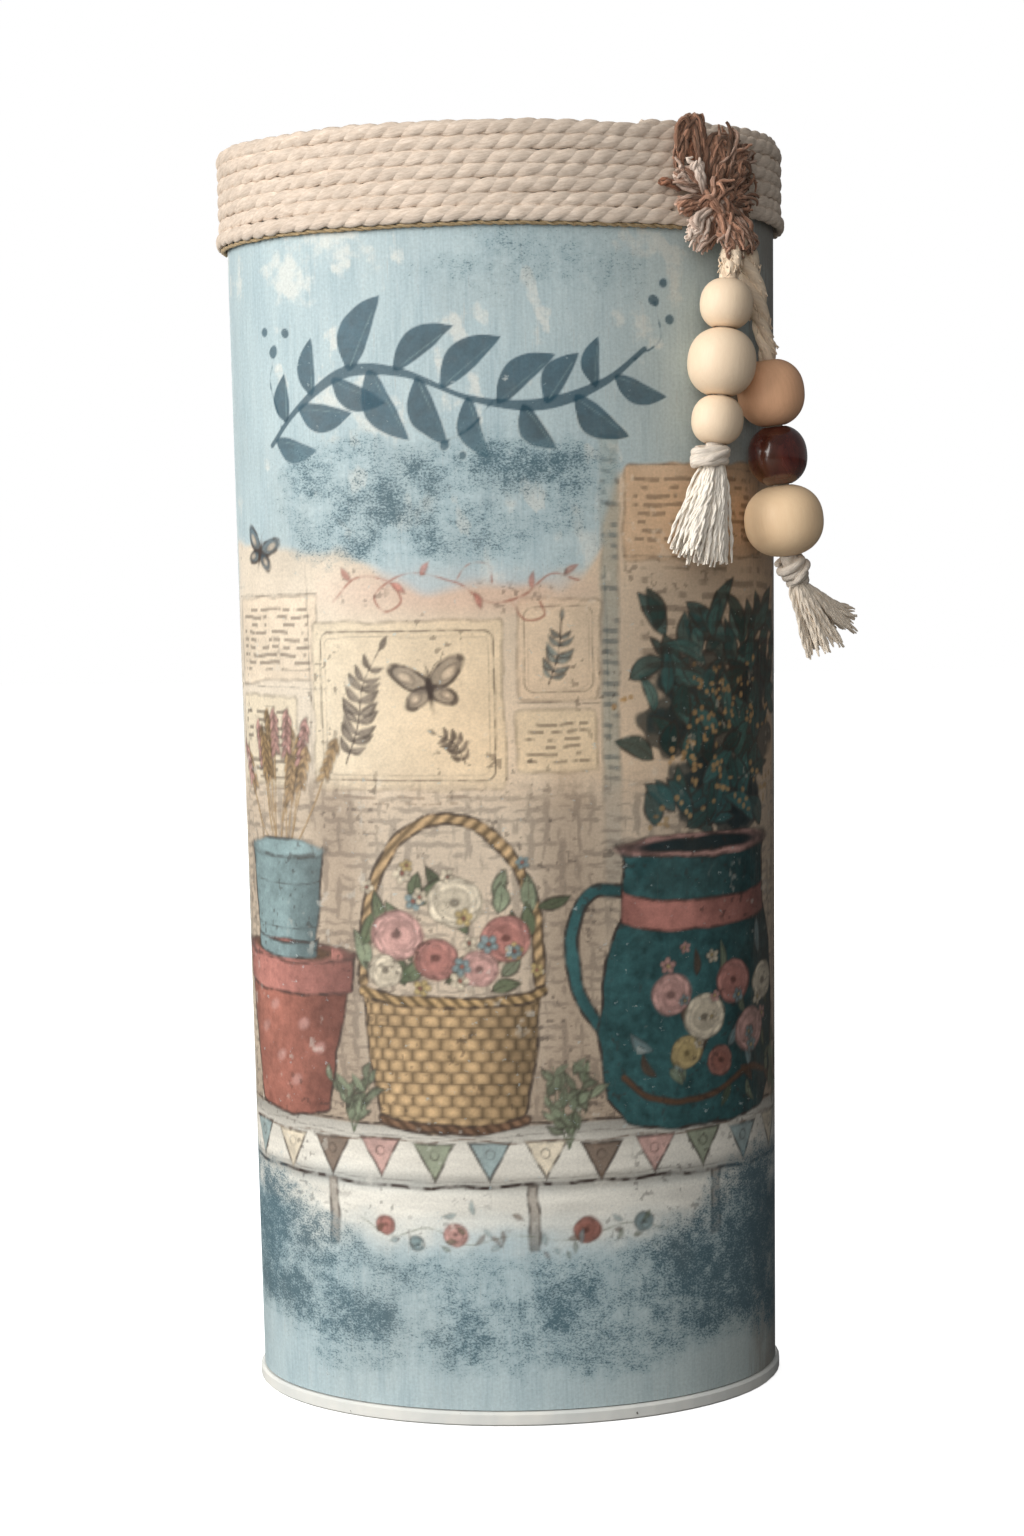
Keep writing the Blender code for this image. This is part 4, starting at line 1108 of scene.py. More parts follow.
# a round vessel: half widths at heights, and how far its rims bow down
def vessel(cx, heights, halves, sag=3.0):
    def distance(x, h):
        half = np.interp(h, heights, halves)
        bow = sag * np.sqrt(np.clip(1 - ((x - cx) / np.maximum(half, 1)) ** 2, 0, 1))
        return np.maximum(np.abs(x - cx) - half, np.maximum(heights[0] - bow - h, h - heights[-1] + bow))
    return distance


def leafShape(x0, h0, length, width, turn, curve):
    def distance(x, h):
        u, v = turned(x, h, x0, h0, turn)
        t = np.clip(u / length, 0, 1)
        v = v - curve * length * np.sin(pi * t) * 0.5
        return np.maximum(np.abs(v) - width / 2 * np.sin(pi * t ** 0.85) ** 0.8, np.maximum(-u, u - length))
    return distance


# a line through points, with its half width
def trail(points, half=0.0):
    def distance(x, h):
        least = np.full(np.shape(x), 1e9)
        for (ax, ay), (bx, by) in zip(points[:-1], points[1:]):
            dx, dy = bx - ax, by - ay
            t = np.clip(((x - ax) * dx + (h - ay) * dy) / max(dx * dx + dy * dy, 1e-9), 0, 1)
            least = np.minimum(least, np.hypot(x - ax - t * dx, h - ay - t * dy))
        return least - half
    return distance


def around(cx, cy, reach, tall=None):
    tall = tall or reach
    return cx - reach, cx + reach, cy - tall, cy + tall


def spread(points, margin=3.0):
    p = np.asarray(points)
    return p[:, 0].min() - margin, p[:, 0].max() + margin, p[:, 1].min() - margin, p[:, 1].max() + margin


def sketch(points, width=0.4, strength=0.8, paint="pencil"):
    pencil(spread(points), trail(points), width, strength, paint)


def thickLine(points, half, *look, **more):
    wash(spread(points, 5), trail(points, half), *look, **more)


def dot(x, h, reach, rx, ry, paint, soft, outline, mottle=0.3, strength=1.0, wobble=1.4, turn=0.0):
    wash(around(x, h, reach), oval(x, h, rx, ry, turn), paint, soft, outline, mottle, strength, wobble)


def ahead(x, h, turn, reach, tall=None):
    return x + math.cos(turn) * reach, h + math.sin(turn) * (tall or reach)


def leaf(x, h, length, width, turn, paint, curve=0.15, outline=0.45, rib=0.5, strength=0.95):
    shape = leafShape(x, h, length, width, turn, curve)
    wash(around(x, h, length + 2), shape, paint, 0.5, outline, 0.5, strength, 0.8)
    t = np.linspace(0, 0.92, 7)
    u, v = length * t, curve * length * np.sin(pi * t) * 0.5
    c, s = math.cos(turn), math.sin(turn)
    if rib:
        sketch(np.stack([x + u * c - v * s, h + u * s + v * c], 1), 0.15, rib)


# a full bloom: rings of petals, paler outwards
def bloom(x, h, size, paint, seed, outline=0.4):
    rng = np.random.default_rng(seed)
    dot(x, h, size * 1.4, size * 0.9, size * 0.82, paints[paint] * 0.62, 0.8, 0.0)
    for ring, count in ((1.0, 8), (0.7, 7), (0.42, 5)):
        first = rng.uniform(0, 6)
        for k in range(count):
            angle = first + k * fullTurn / count + rng.normal(0, 0.12)
            cx, cy = ahead(x, h, angle, size * ring * 0.6, size * ring * 0.54)
            tint = paints[paint] * rng.uniform(0.82, 1.25) * (0.72 + 0.36 * ring) + 0.05 * ring
            dot(cx, cy, size * 0.7, size * 0.36, size * 0.26, tint, 0.45, outline * ring, 0.35, 0.95, 1.0,
                angle + pi / 2)
    dot(x, h, size, size * 0.16, size * 0.13, paints[paint] * 0.4, 0.5, 0.3)


def blossom(x, h, size, paint, seed, heart="butter"):
    first = np.random.default_rng(seed).uniform(0, 6)
    for k in range(5):
        angle = first + k * fullTurn / 5
        cx, cy = ahead(x, h, angle, size * 0.55, size * 0.5)
        dot(cx, cy, size, size * 0.42, size * 0.34, paint, 0.4, 0.35, 0.4, 0.92, 0.7, angle)
    dot(x, h, size, size * 0.2, size * 0.2, heart, 0.35, 0.4)


# light from the left on a round form
def roundShade(cx, half, low=0.5):
    def shade(x, h):
        u = (x - cx) / half
        return 1.12 - (1.12 - low) * smooth(-0.25, 1.05, u) - 0.28 * smooth(-0.6, -1.05, u)
    return shade


# rows of broken strokes, as a worn engraving's tone
def strokeRows(box, pitch, strength, seed, paint="pencil", run=2.6, slant=0.0):
    at, x, h = window(box)
    level = (h + slant * x + 0.25 * np.sin(x * 0.35 + seed)) / pitch
    row = np.floor(level)
    broken = latticeNoise(x + row * 17.3, row * 5.1, run, seed, 2)
    edge = smooth(box[0], box[0] + 2, x) * smooth(box[1], box[1] - 2, x)
    edge = edge * smooth(box[2], box[2] + 1, h) * smooth(box[3], box[3] - 1, h)
    lay(at, smooth(0.30, 0.16, np.abs(level - row - 0.5)) * smooth(0.42, 0.55, broken) * strength * edge,
        rgb(paint))


def frameLine(cx, cy, halfWide, halfHigh, strength=0.7, inner=1.6):
    box = around(cx, cy, halfWide + 3, halfHigh + 3)
    pencil(box, slab(cx, cy, halfWide, halfHigh, 3.0), 0.22, strength)
    pencil(box, slab(cx, cy, halfWide - inner, halfHigh - inner, 2.2), 0.05, strength * 0.6)


# an engraved frond of small leaves along a bowed stem
def frond(points, pairs, reach, paint="smoke", strength=0.8):
    stem = bowed(points, 10)
    sketch(stem, 0.2, strength, "pencil")
    for k in range(pairs):
        share = 0.12 + 0.85 * k / pairs
        index = int(share * (len(stem) - 2))
        dx, dy = stem[index + 1] - stem[index]
        size = reach * math.sin(pi * (0.18 + 0.74 * share)) ** 0.8
        for side in (-1, 1):
            turn = math.atan2(dy, dx) + side * 0.95
            leaf(*stem[index], size, size * 0.34, turn, paint, 0.2 * side, 0.6, 0.35, strength)
    turn = math.atan2(*(stem[-1] - stem[-2])[::-1])
    leaf(*stem[-1], reach * 0.5, reach * 0.18, turn, paint, 0, 0.6, 0.0, strength)


def butterfly(x, h, size, paint, turn=0.0, strength=0.75):
    for side in (-1, 1):
        for long, wide, off, lean in ((1.0, 0.62, 0.30, 0.62), (0.66, 0.52, -0.28, -0.55)):
            angle = turn + (lean if side > 0 else pi - lean)
            cx, cy = ahead(x, h + off * 0.2, angle, size * long * 0.52)
            dot(cx, cy, size, size * long * 0.5, size * wide * 0.38, paint, 0.4, 0.8, 0.6, strength, 0.8,
                angle)
            dot(cx + math.cos(angle) * size * 0.1, cy, size, size * long * 0.2, size * wide * 0.15, "paper",
                0.4, 0.4, 0.3, 0.7, 0.6, angle)
    dot(x, h, size, size * 0.06, size * 0.34, "pencil", 0.3, 0.5, 0.2, 0.9, 0.3, turn)
    for side in (-size, size):
        sketch(bowed([(x, h + size * 0.3), (x + side * 0.12, h + size * 0.55),
                      (x + side * 0.28, h + size * 0.66)], 6),
               0.05, 0.7)


# a leafy branch in dark blue across the upper wall
def paintBranch():
    rng = np.random.default_rng(7)
    stem = bowed([(-74, 294), (-62, 305), (-46, 314), (-28, 313), (-8, 305), (12, 303), (30, 309),
                  (43, 319)], 14)
    at, x, h = window(spread(stem, 6))
    wide = 1.3 + 0.5 * np.sin(x * 0.11)
    lay(at, smooth(wide + 0.5, wide - 0.3, trail(stem)(x, h)) * 0.92, paints["inkBlue"])
    count = 17
    for k in range(count):
        index = int((0.03 + 0.94 * k / count) * (len(stem) - 2))
        px, ph = stem[index]
        dx, dy = stem[index + 1] - stem[index]
        side = 1 if k % 2 else -1
        turn = math.atan2(dy, dx) + side * rng.uniform(0.75, 1.15)
        length = rng.uniform(16, 23) * (0.75 + 0.35 * math.sin(pi * k / count))
        leaf(px, ph, length, length * rng.uniform(0.38, 0.46), turn, "inkBlue", 0.25 * side, 0.0, 0.0, 0.93)
        sketch([ahead(px, ph, turn, 2), ahead(px, ph, turn, length * 0.8)], 0.05, 0.6, "mist")
    for px, ph, size in ((-72, 322, 2.1), (-67, 327, 1.7), (-76, 328, 1.5), (46, 333, 1.9), (51, 328, 1.6),
                         (49, 338, 1.4), (-16, 292, 1.6), (-11, 289, 1.3)):
        dot(px, ph, 5, size, size, "inkBlue", 0.4, 0.0, 0.3, 0.9)
    for line in ([(-70, 299), (-74, 312), (-72, 320)], [(40, 316), (48, 322), (46, 332)],
                 [(-2, 304), (-8, 297), (-15, 293)]):
        sketch(bowed(line, 8), 0.35, 0.9, "inkBlue")


# paper patches, plates, rows of strokes, ferns and a tendril behind the still life
def paintPapers():
    at, x, h = window((-112, 112, 60, 300))
    ragged = latticeNoise(x, h, 26.0, 41)
    top = 262 + 26 * smooth(22, 40, x) + 4 * smooth(-60, -80, x) - 10 * smooth(-60, -20, x) * smooth(30, 0,
                                                                                                     x)
    body = smooth(0, 6, top + 22 * (ragged - 0.5) - h) * smooth(68, 80, h + 16 * (ragged - 0.5))
    sides = smooth(111, 101, np.abs(x) + 12 * (ragged - 0.5))
    tone = 1 + 0.28 * (latticeNoise(x, h, 30.0, 42, 4) - 0.5) + 0.10 * (latticeNoise(x, h, 2.0, 43, 2) - 0.5)
    # painted shade: the paper turns to the darker brown paper tone towards the right, where the light falls off
    paperShadeToRight = smooth(-10, 90, x)[..., None]
    paper = paints["paper"] * (1 - paperShadeToRight) + paints["darkPaper"] * paperShadeToRight
    lay(at, body * sides * 0.93, paper * tone[..., None])
    for cx, cy, wide, high, paint, turn in (
            (-78, 236, 20, 13, "paper", 0.02), (-30, 216, 30, 25, "cream", 0.0),
                                            (16, 232, 12, 15, "paper", -0.02),
            (15, 205, 12, 9, "cream", 0.03), (-83, 205, 16, 14, "cream", -0.02),
                                            (62, 272, 26, 14, "darkPaper", 0.01)):
        wash(around(cx, cy, wide + 4, high + 4), slab(cx, cy, wide, high, 1.5, turn), paint, 0.7, 0.35, 0.16,
             0.95, 2.0)
    frameLine(-30, 216, 27, 22)
    frameLine(16, 232, 10, 12.5, 0.5, 1.2)
    for box, pitch, strength in (
            ((-96, -60, 226, 246), 2.3, 0.55), ((-97, -69, 193, 216), 2.5, 0.62),
                                 ((5, 26, 198, 212), 2.2, 0.55),
            ((38, 86, 262, 283), 2.5, 0.5), ((-98, -60, 176, 187), 2.4, 0.35),
                                 ((-54, -7, 186, 191), 1.9, 0.6)):
        strokeRows(box, pitch, strength, box[2])
    for line in ([(-99, 249), (-58, 249.5)], [(-99, 222), (-58, 221)], [(-62, 258), (-61, 190)],
                 [(30, 256), (31, 190)], [(-99, 190), (-64, 190.5)], [(34, 286), (92, 284)],
                 [(36, 259), (90, 258)], [(3, 217), (28, 216)]):
        sketch(line, 0.15, 0.55)
    frond([(-49, 199), (-45, 210), (-43, 222), (-37, 233)], 9, 7.0)
    butterfly(-22, 221, 13, "smoke", 0.15)
    frond([(-12, 199), (-15, 205), (-21, 208)], 5, 4.0)
    frond([(13, 222), (16, 231), (17, 241)], 6, 5.0, "mist")
    butterfly(-82, 262, 10, "inkBlue", -0.3, 0.85)
    # a thin rose-red tendril under the branch
    wash((-58, 28, 238, 262), oval(-16, 250, 36, 7), "blush", 4.0, 0.0, 0.3, 0.30)
    for line in ([(-52, 247), (-44, 254), (-34, 253), (-30, 247), (-35, 244), (-38, 249), (-28, 255),
                  (-14, 252), (-4, 246), (6, 248), (14, 254), (22, 252)],
                 [(-14, 252), (-10, 257), (-4, 257), (-3, 252)], [(2, 247), (6, 241), (12, 242), (11, 246)]):
        sketch(bowed(line, 9), 0.3, 0.75, "brick")
    for px, ph, turn in ((-46, 253, 2.2), (-24, 254, 1.0), (-8, 249, -1.2), (8, 250, 1.4), (18, 254, 0.6),
                         (-33, 252, -0.6)):
        leaf(px, ph, 5.0, 2.0, turn, "rose", 0.1, 0.3, 0.0, 0.8)
    # a pale blue ribbon with ticks
    wash((26, 38, 150, 300), slab(31.5, 226, 2.6, 68, 1.0), "mist", 1.0, 0.2, 0.3, 0.55)
    strokeRows((28, 35, 160, 292), 3.1, 0.5, 77, "inkBlue", 6.0)


# dark leaves behind the jug, with small gold-beige umbels
def paintFoliage():
    rng = np.random.default_rng(19)
    for k in range(11):
        dot(69 + 15 * math.cos(k * 2.4), 203 + 19 * math.sin(k * 1.7), 30, 12, 11, "deepTeal", 1.2, 0.0, 0.7,
            0.85, 12.0)
    for k in range(120):
        x, h = 70 + rng.normal(0, 15), rng.uniform(174, 238)
        tint = paints["teal"] * rng.uniform(0.3, 1.25) + np.array((0.012, 0.02, 0.014)) * rng.uniform(0, 2)
        leaf(x, h, rng.uniform(9, 17), rng.uniform(4, 6.5), rng.uniform(0.2, 2.9), tint,
             rng.uniform(-0.3, 0.3), 0.6, 0.5, 0.92)
    for k in range(30):
        x, h = 70 + rng.normal(0, 15), rng.uniform(176, 226)
        for _ in range(5):
            px, ph = x + rng.normal(0, 2.0), h + rng.normal(0, 2.4)
            dot(px, ph, 3, rng.uniform(0.5, 1.0), rng.uniform(0.5, 1.0), "straw", 0.35, 0.0, 0.5, 0.8, 0.4)
    strokeRows((40, 102, 222, 256), 4.2, 0.45, 31, "pencil", 5.0, 0.05)


# woven cloth behind the bench
def paintBacking():
    at, x, h = window((-108, 108, 86, 200))
    level = smooth(198, 186, h + 6 * (latticeNoise(x, h, 9, 51) - 0.5)) * smooth(106, 98, np.abs(x))
    lay(at, level * 0.55, paints["darkPaper"] * (0.8 + 0.4 * latticeNoise(x, h, 18, 52))[..., None])
    across = smooth(0.34, 0.14, np.abs((h + 0.3 * np.sin(x)) / 3.4 % 1 - 0.5))
    across = across * smooth(0.40, 0.6, latticeNoise(x, h * 3, 5, 53, 2))
    upward = smooth(0.34, 0.14, np.abs((x + 0.3 * np.sin(h)) / 4.6 % 1 - 0.5))
    upward = upward * smooth(0.44, 0.62, latticeNoise(x * 3, h, 6, 54, 2))
    lay(at, np.maximum(across, upward) * level * 0.5, paints["smoke"])
    shadow = smooth(20, 0, np.abs(x - 18)) + smooth(16, 0, np.abs(x + 53)) + smooth(120, 92, h) * 0.8
    lay(at, np.clip(shadow, 0, 1) * level * 0.38, paints["umber"])


# a bowed line across a vessel, from its rim's left end to its right end
def rimLine(cx, level, sag, half, left, right, count):
    return [(cx + u, level - sag * math.sqrt(max(0, 1 - (u / half) ** 2)))
            for u in np.linspace(left, right, count)]


# clay pot, tin and dried flowers at the left
def paintPots():
    rng = np.random.default_rng(23)
    for k in range(15):
        x1, h1 = -77 + rng.normal(0, 13), rng.uniform(196, 216)
        stem = bowed([(-76 + rng.normal(0, 5), 158), (-76 + (x1 + 76) * 0.5 + rng.normal(0, 1), 180),
                      (x1, h1)], 8)
        sketch(stem, 0.25, 0.8, "straw")
        sketch(stem + 0.4, 0.02, 0.5)
        heading = math.atan2(h1 - 180, x1 + 76 - (x1 + 76) * 0.5)
        for step in range(9):
            cx, cy = ahead(x1, h1, heading, -step / 9 * 13)
            side = 1 if step % 2 else -1
            dot(cx + side * 0.9, cy, 6, 1.9, 0.85, ("honey", "blush", "straw")[k % 3], 0.35, 0.5, 0.5, 0.9,
                0.5, heading + side * 0.5)
    tin, pot = (-98, -52, 134, 180), (-106, -44, 82, 150)
    wash(tin, vessel(-76, [143, 150, 170, 174], [14, 15, 17, 17.5], 2.6), "mist", 0.5, 0.8, 0.45,
         shade=roundShade(-76, 17, 0.45))
    wash((-98, -52, 168, 180), oval(-76, 172.5, 17.5, 2.8), paints["mist"] * 1.25, 0.4, 0.7)
    for level in (150.5, 164.0):
        sketch(rimLine(-76, level, 2.6, 17, -15.5, 15.8, 12), 0.12, 0.6)
    wash(pot, vessel(-75, [94, 128, 132], [16.5, 23.5, 24], 3.2), "brick", 0.5, 0.8, 0.5,
         shade=roundShade(-75, 24, 0.5))
    wash(pot, vessel(-75, [131, 142], [26, 26.5], 3.2), "rose", 0.5, 0.8, 0.4,
         shade=roundShade(-75, 26, 0.55))
    wash(pot, oval(-75, 141.2, 26, 3.4), paints["rose"] * 1.2, 0.4, 0.7)
    wash((-96, -56, 134, 150), oval(-75, 141.4, 21, 2.4), "umber", 0.6, 0.4)
    wash(tin, vessel(-76, [141, 146], [14, 14.6], 2.4), "mist", 0.5, 0.7, 0.45,
         shade=roundShade(-76, 15, 0.4))
    for px, ph in ((-88, 116), (-79, 108), (-68, 119), (-82, 124), (-62, 112), (-72, 101)):
        dot(px, ph, 5, 2.4, 1.6, "blush", 0.8, 0.0, 0.5, 0.55, turn=0.5)


# an ochre wicker basket of roses in the middle
def paintBasket():
    rng = np.random.default_rng(29)
    cx = -18
    thickLine(bowed([(-45, 134), (-43, 158), (-33, 176), (-18, 183), (-3, 176), (7, 158), (9, 134)], 10),
              1.7, "honey", 0.4, 0.8, 0.4, shade=lambda x, h: 0.75 + 0.4 * np.sin((x - h) * 1.3))
    for _ in range(30):
        x, h = cx + rng.uniform(-27, 27), rng.uniform(130, 160)
        tint = paints["moss" if rng.random() < 0.6 else "sage"] * rng.uniform(0.7, 1.3)
        leaf(x, h, rng.uniform(8, 13), rng.uniform(3.5, 5.5), rng.uniform(0.1, 3.0), tint,
             rng.uniform(-0.25, 0.25), 0.6, 0.5)
    for k, rose in enumerate(((-34, 148, 9.0, "blush"), (-16, 158, 9.5, "cream"), (-1, 147, 8.5, "rose"),
                              (-22, 141, 7.5, "rose"), (-9, 138, 6.5, "blush"), (-38, 137, 6.0, "cream"))):
        bloom(*rose, 60 + k)
    for k in range(16):
        blossom(cx + rng.uniform(-30, 27), rng.uniform(132, 170), rng.uniform(2.0, 3.2),
                ("cream", "mist", "butter")[k % 3], 80 + k, "brick")

    def wicker(x, h):
        u = np.arcsin(np.clip((x - cx) / 27.5, -1, 1)) * 27.5
        row = (h - 90) / 3.4
        cell = np.abs(np.sin(pi * (u / 6.2 + np.floor(row) * 0.5))) * np.sqrt(np.abs(np.sin(pi * (row % 1))))
        return (0.38 + 0.85 * cell) * roundShade(cx, 27, 0.5)(x, h)
    wash((-52, 16, 82, 140), vessel(cx, [92, 112, 132], [22, 26, 27], 3.6), "honey", 0.5, 0.85, 0.4,
         shade=wicker)
    thickLine(rimLine(cx, 131.5, 3.6, 27.5, -27.4, 27.4, 22), 1.6, "straw", 0.4, 0.8, 0.4,
              shade=lambda x, h: 0.8 + 0.45 * np.sin((x + h) * 1.5))
    thickLine(rimLine(cx, 93.5, 3.6, 22.5, -22, 22, 18), 1.4, "umber", 0.4, 0.7, 0.4,
              shade=lambda x, h: 1.2 + 0.5 * np.sin((x + h) * 1.5))


# a dark teal jug with a coral band and painted flowers at the right
def paintJug():
    rng = np.random.default_rng(37)
    cx = 62
    thickLine(bowed([(36, 160), (25, 160), (19, 148), (20, 132), (27, 120), (35, 115)], 10), 2.0, "teal",
              0.5, 0.85, 0.4, shade=lambda x, h: 1.35 - 0.5 * smooth(18, 30, x))
    box = (20, 106, 78, 182)
    wash(box, vessel(cx, [91, 98, 118, 140, 152, 168, 174], [28, 33, 36, 33, 28, 27, 29], 4.0), "teal",
         0.5, 0.9, 0.75, shade=roundShade(cx, 36, 0.42))
    wash(box, oval(cx, 172.5, 29, 3.6), "blush", 0.4, 0.7)
    wash(box, oval(cx, 172.8, 24.5, 2.3), "deepTeal", 0.5, 0.5)
    wash(box, vessel(cx, [151, 160], [28.4, 27.6], 4.0), "rose", 0.5, 0.7, 0.45,
         shade=roundShade(cx, 28, 0.5))
    for k in range(22):
        x, h = rng.uniform(40, 92), rng.uniform(98, 142)
        leaf(x, h, rng.uniform(6, 11), rng.uniform(2.5, 4.0), rng.uniform(0, 6.2),
             ("sage", "umber", "moss", "mist")[k % 4], rng.uniform(-0.3, 0.3), 0.4, 0.4, 0.8)
    for k, rose in enumerate(((50, 128, 7.5, "blush"), (62, 120, 8.5, "cream"), (74, 130, 8.0, "rose"),
                              (55, 110, 6.0, "butter"), (82, 114, 8.0, "blush"), (68, 106, 5.5, "brick"),
                              (90, 128, 7.0, "cream"))):
        bloom(*rose, 130 + k, 0.3)
    thickLine(bowed([(34, 104), (42, 98), (54, 95), (68, 97), (80, 102), (90, 100)], 8), 0.9, "umber", 0.5,
              0.4)
    for k in range(12):
        blossom(rng.uniform(42, 94), rng.uniform(102, 142), rng.uniform(1.8, 2.8),
                ("cream", "mist", "blush")[k % 3], 160 + k)


# the bench: a pale board, a bunting under it, then a dark edge and small roses that fade into the sponging
def paintBench():
    rng = np.random.default_rng(43)
    at, x, h = window((-108, 108, 40, 100))
    ragged = 9 * (latticeNoise(x, h, 12, 71) - 0.5)
    board = smooth(0.5, -0.5, h - (91 + 0.8 * np.sin(x * 0.05))) * smooth(60, 66, h + ragged)
    board = board * smooth(107, 99, np.abs(x))
    grain = 1 + 0.35 * (latticeNoise(x, h * 7, 16, 72) - 0.5)
    light = grain * (0.55 + 0.45 * smooth(74, 78, h) * smooth(92, 84, h) + 0.35 * smooth(73, 70, h))
    lay(at, board * 0.9, paints["chalk"] * light[..., None])
    fade = smooth(72, 69, h) * smooth(46, 60, h + 1.5 * ragged) * smooth(88, 60, np.abs(x + 4))
    lay(at, fade * 0.85, paints["chalk"] * grain[..., None])
    for level, width, strength in ((91.5, 0.35, 0.9), (88.0, 0.1, 0.5), (73.0, 0.5, 1.0), (74.6, 0.08, 0.5)):
        sketch([(u, level + 0.8 * math.sin(u * 0.05) + 0.3 * math.sin(u * 0.3))
                for u in np.linspace(-104, 104, 60)],
               width, strength)
    for k, cx in enumerate(np.arange(-92, 98, 17.0)):
        drop = 86.5 - 1.2 * math.sin((cx + 92) * 0.12) ** 2
        flag = lambda x, h: np.maximum(np.abs(x - cx) - (h - drop + 11.5) * 0.55, h - drop)
        wash(around(cx, 81, 9, 8), flag, ("mist", "cream", "umber", "blush", "sage")[k % 5], 0.4, 0.75, 0.5,
             0.85, 0.8)
        pencil(around(cx, 81, 6, 6), oval(cx, drop - 3.6, 1.4, 1.4), 0.2, 0.6)
    sketch([(u, 86.9 - 1.2 * math.sin((u + 92) * 0.12) ** 2) for u in np.linspace(-100, 100, 60)], 0.2, 0.8,
           "umber")
    for px in (-58, 6, 66):
        wash((px - 4, px + 4, 48, 76), slab(px, 63, 1.6, 10, 0.4), "smoke", 0.5, 0.7, 0.4, 0.75,
             shade=lambda x, h: 0.7 + 0.8 * smooth(52, 66, h))
    vine = [(-48, 62), (-38, 57), (-26, 60), (-14, 55), (0, 58), (18, 56), (34, 60), (48, 57)]
    sketch(bowed(vine, 8), 0.2, 0.55, "moss")
    for k, rose in enumerate(((-40, 60, 3.4, "rose"), (-18, 58, 4.2, "blush"), (22, 59, 4.8, "brick"),
                              (40, 60, 3.4, "mist"), (-30, 55, 2.6, "mist"))):
        bloom(*rose, 200 + k, 0.3)
    for k in range(26):
        px, ph = rng.uniform(-48, 50), rng.uniform(52, 65)
        leaf(px, ph, rng.uniform(2.5, 4.5), 1.5, rng.uniform(0, 6.2), ("moss", "mist", "umber")[k % 3],
             0.1, 0.3, 0.0, 0.65)


# sprigs that stand in front of the bench line
def paintSprigs():
    rng = np.random.default_rng(47)
    for (x0, h0), count, tall in (((17, 84), 9, 26), ((-50, 88), 7, 18), ((99, 88), 5, 22)):
        for _ in range(count):
            x1, h1 = x0 + rng.normal(0, 5.5), h0 + tall * rng.uniform(0.6, 1.0)
            stem = bowed([(x0, h0), ((x0 + x1) / 2 + rng.normal(0, 1.2), (h0 + h1) / 2), (x1, h1)], 6)
            sketch(stem, 0.2, 0.7, "moss")
            for share in (0.35, 0.55, 0.75, 0.95):
                tint = paints["sage"] * rng.uniform(0.55, 1.3)
                leaf(*stem[int(share * (len(stem) - 1))], rng.uniform(4, 7), rng.uniform(1.8, 2.8),
                     rng.uniform(0.3, 2.8), tint, 0.15, 0.5, 0.3, 0.9)


tanTint = (1.0, 0.90, 0.80)


# stains, dark flecks, worn spots and a tan tint over the whole picture
def agePicture():
    at, x, h = window((-115, 115, 40, 300))
    stain = latticeNoise(x, h, 40.0, 301, 4)
    fleck = smooth(0.70, 0.80, latticeNoise(x, h, 1.8, 302, 2)) * smooth(0.45, 0.65,
                                                                         latticeNoise(x, h, 14.0, 303, 2))
    lay(at, fleck * 0.5 * covers[at], paints["pencil"])
    worn = smooth(0.70, 0.82, latticeNoise(x, h, 3.2, 304)) * smooth(0.52, 0.66,
                                                                     latticeNoise(x, h, 22.0, 305, 2))
    lay(at, worn * 0.30 * covers[at], paints["chalk"])
    tone = (0.84 + 0.32 * stain) * (1 - 0.14 * smooth(200, 180, h) * smooth(70, 92, h))
    faded = inks[at] * 0.86 + inks[at].mean(-1, keepdims=True) * 0.14
    tan = (smooth(-70, 0, x) * smooth(182, 200, h) * (0.7 + 0.6 * stain))[..., None]
    inks[at] = faded * tone[..., None] * (1 - tan * (1 - np.array(tanTint)))


# the skin: thin closed strips on the wall, with the picture in their points

# arc length round the oval at mid height, from the front's middle towards +X
arcAngles = np.linspace(-pi / 2, 3 * pi / 2, 7201)
halfWide, halfDeep = wallAxes(wall["rimHeight"] / 2)
arcSteps = np.hypot(halfWide * np.sin(arcAngles),
                    halfDeep * np.cos(arcAngles)) * (arcAngles[1] - arcAngles[0])
arcRun = np.concatenate([[0], np.cumsum((arcSteps[1:] + arcSteps[:-1]) / 2)])
perimeter = arcRun[-1]


def angleAt(arc):
    return np.interp(arc, np.concatenate([arcRun - perimeter, arcRun[1:]]),
                     np.concatenate([arcAngles - fullTurn, arcAngles[1:]]))
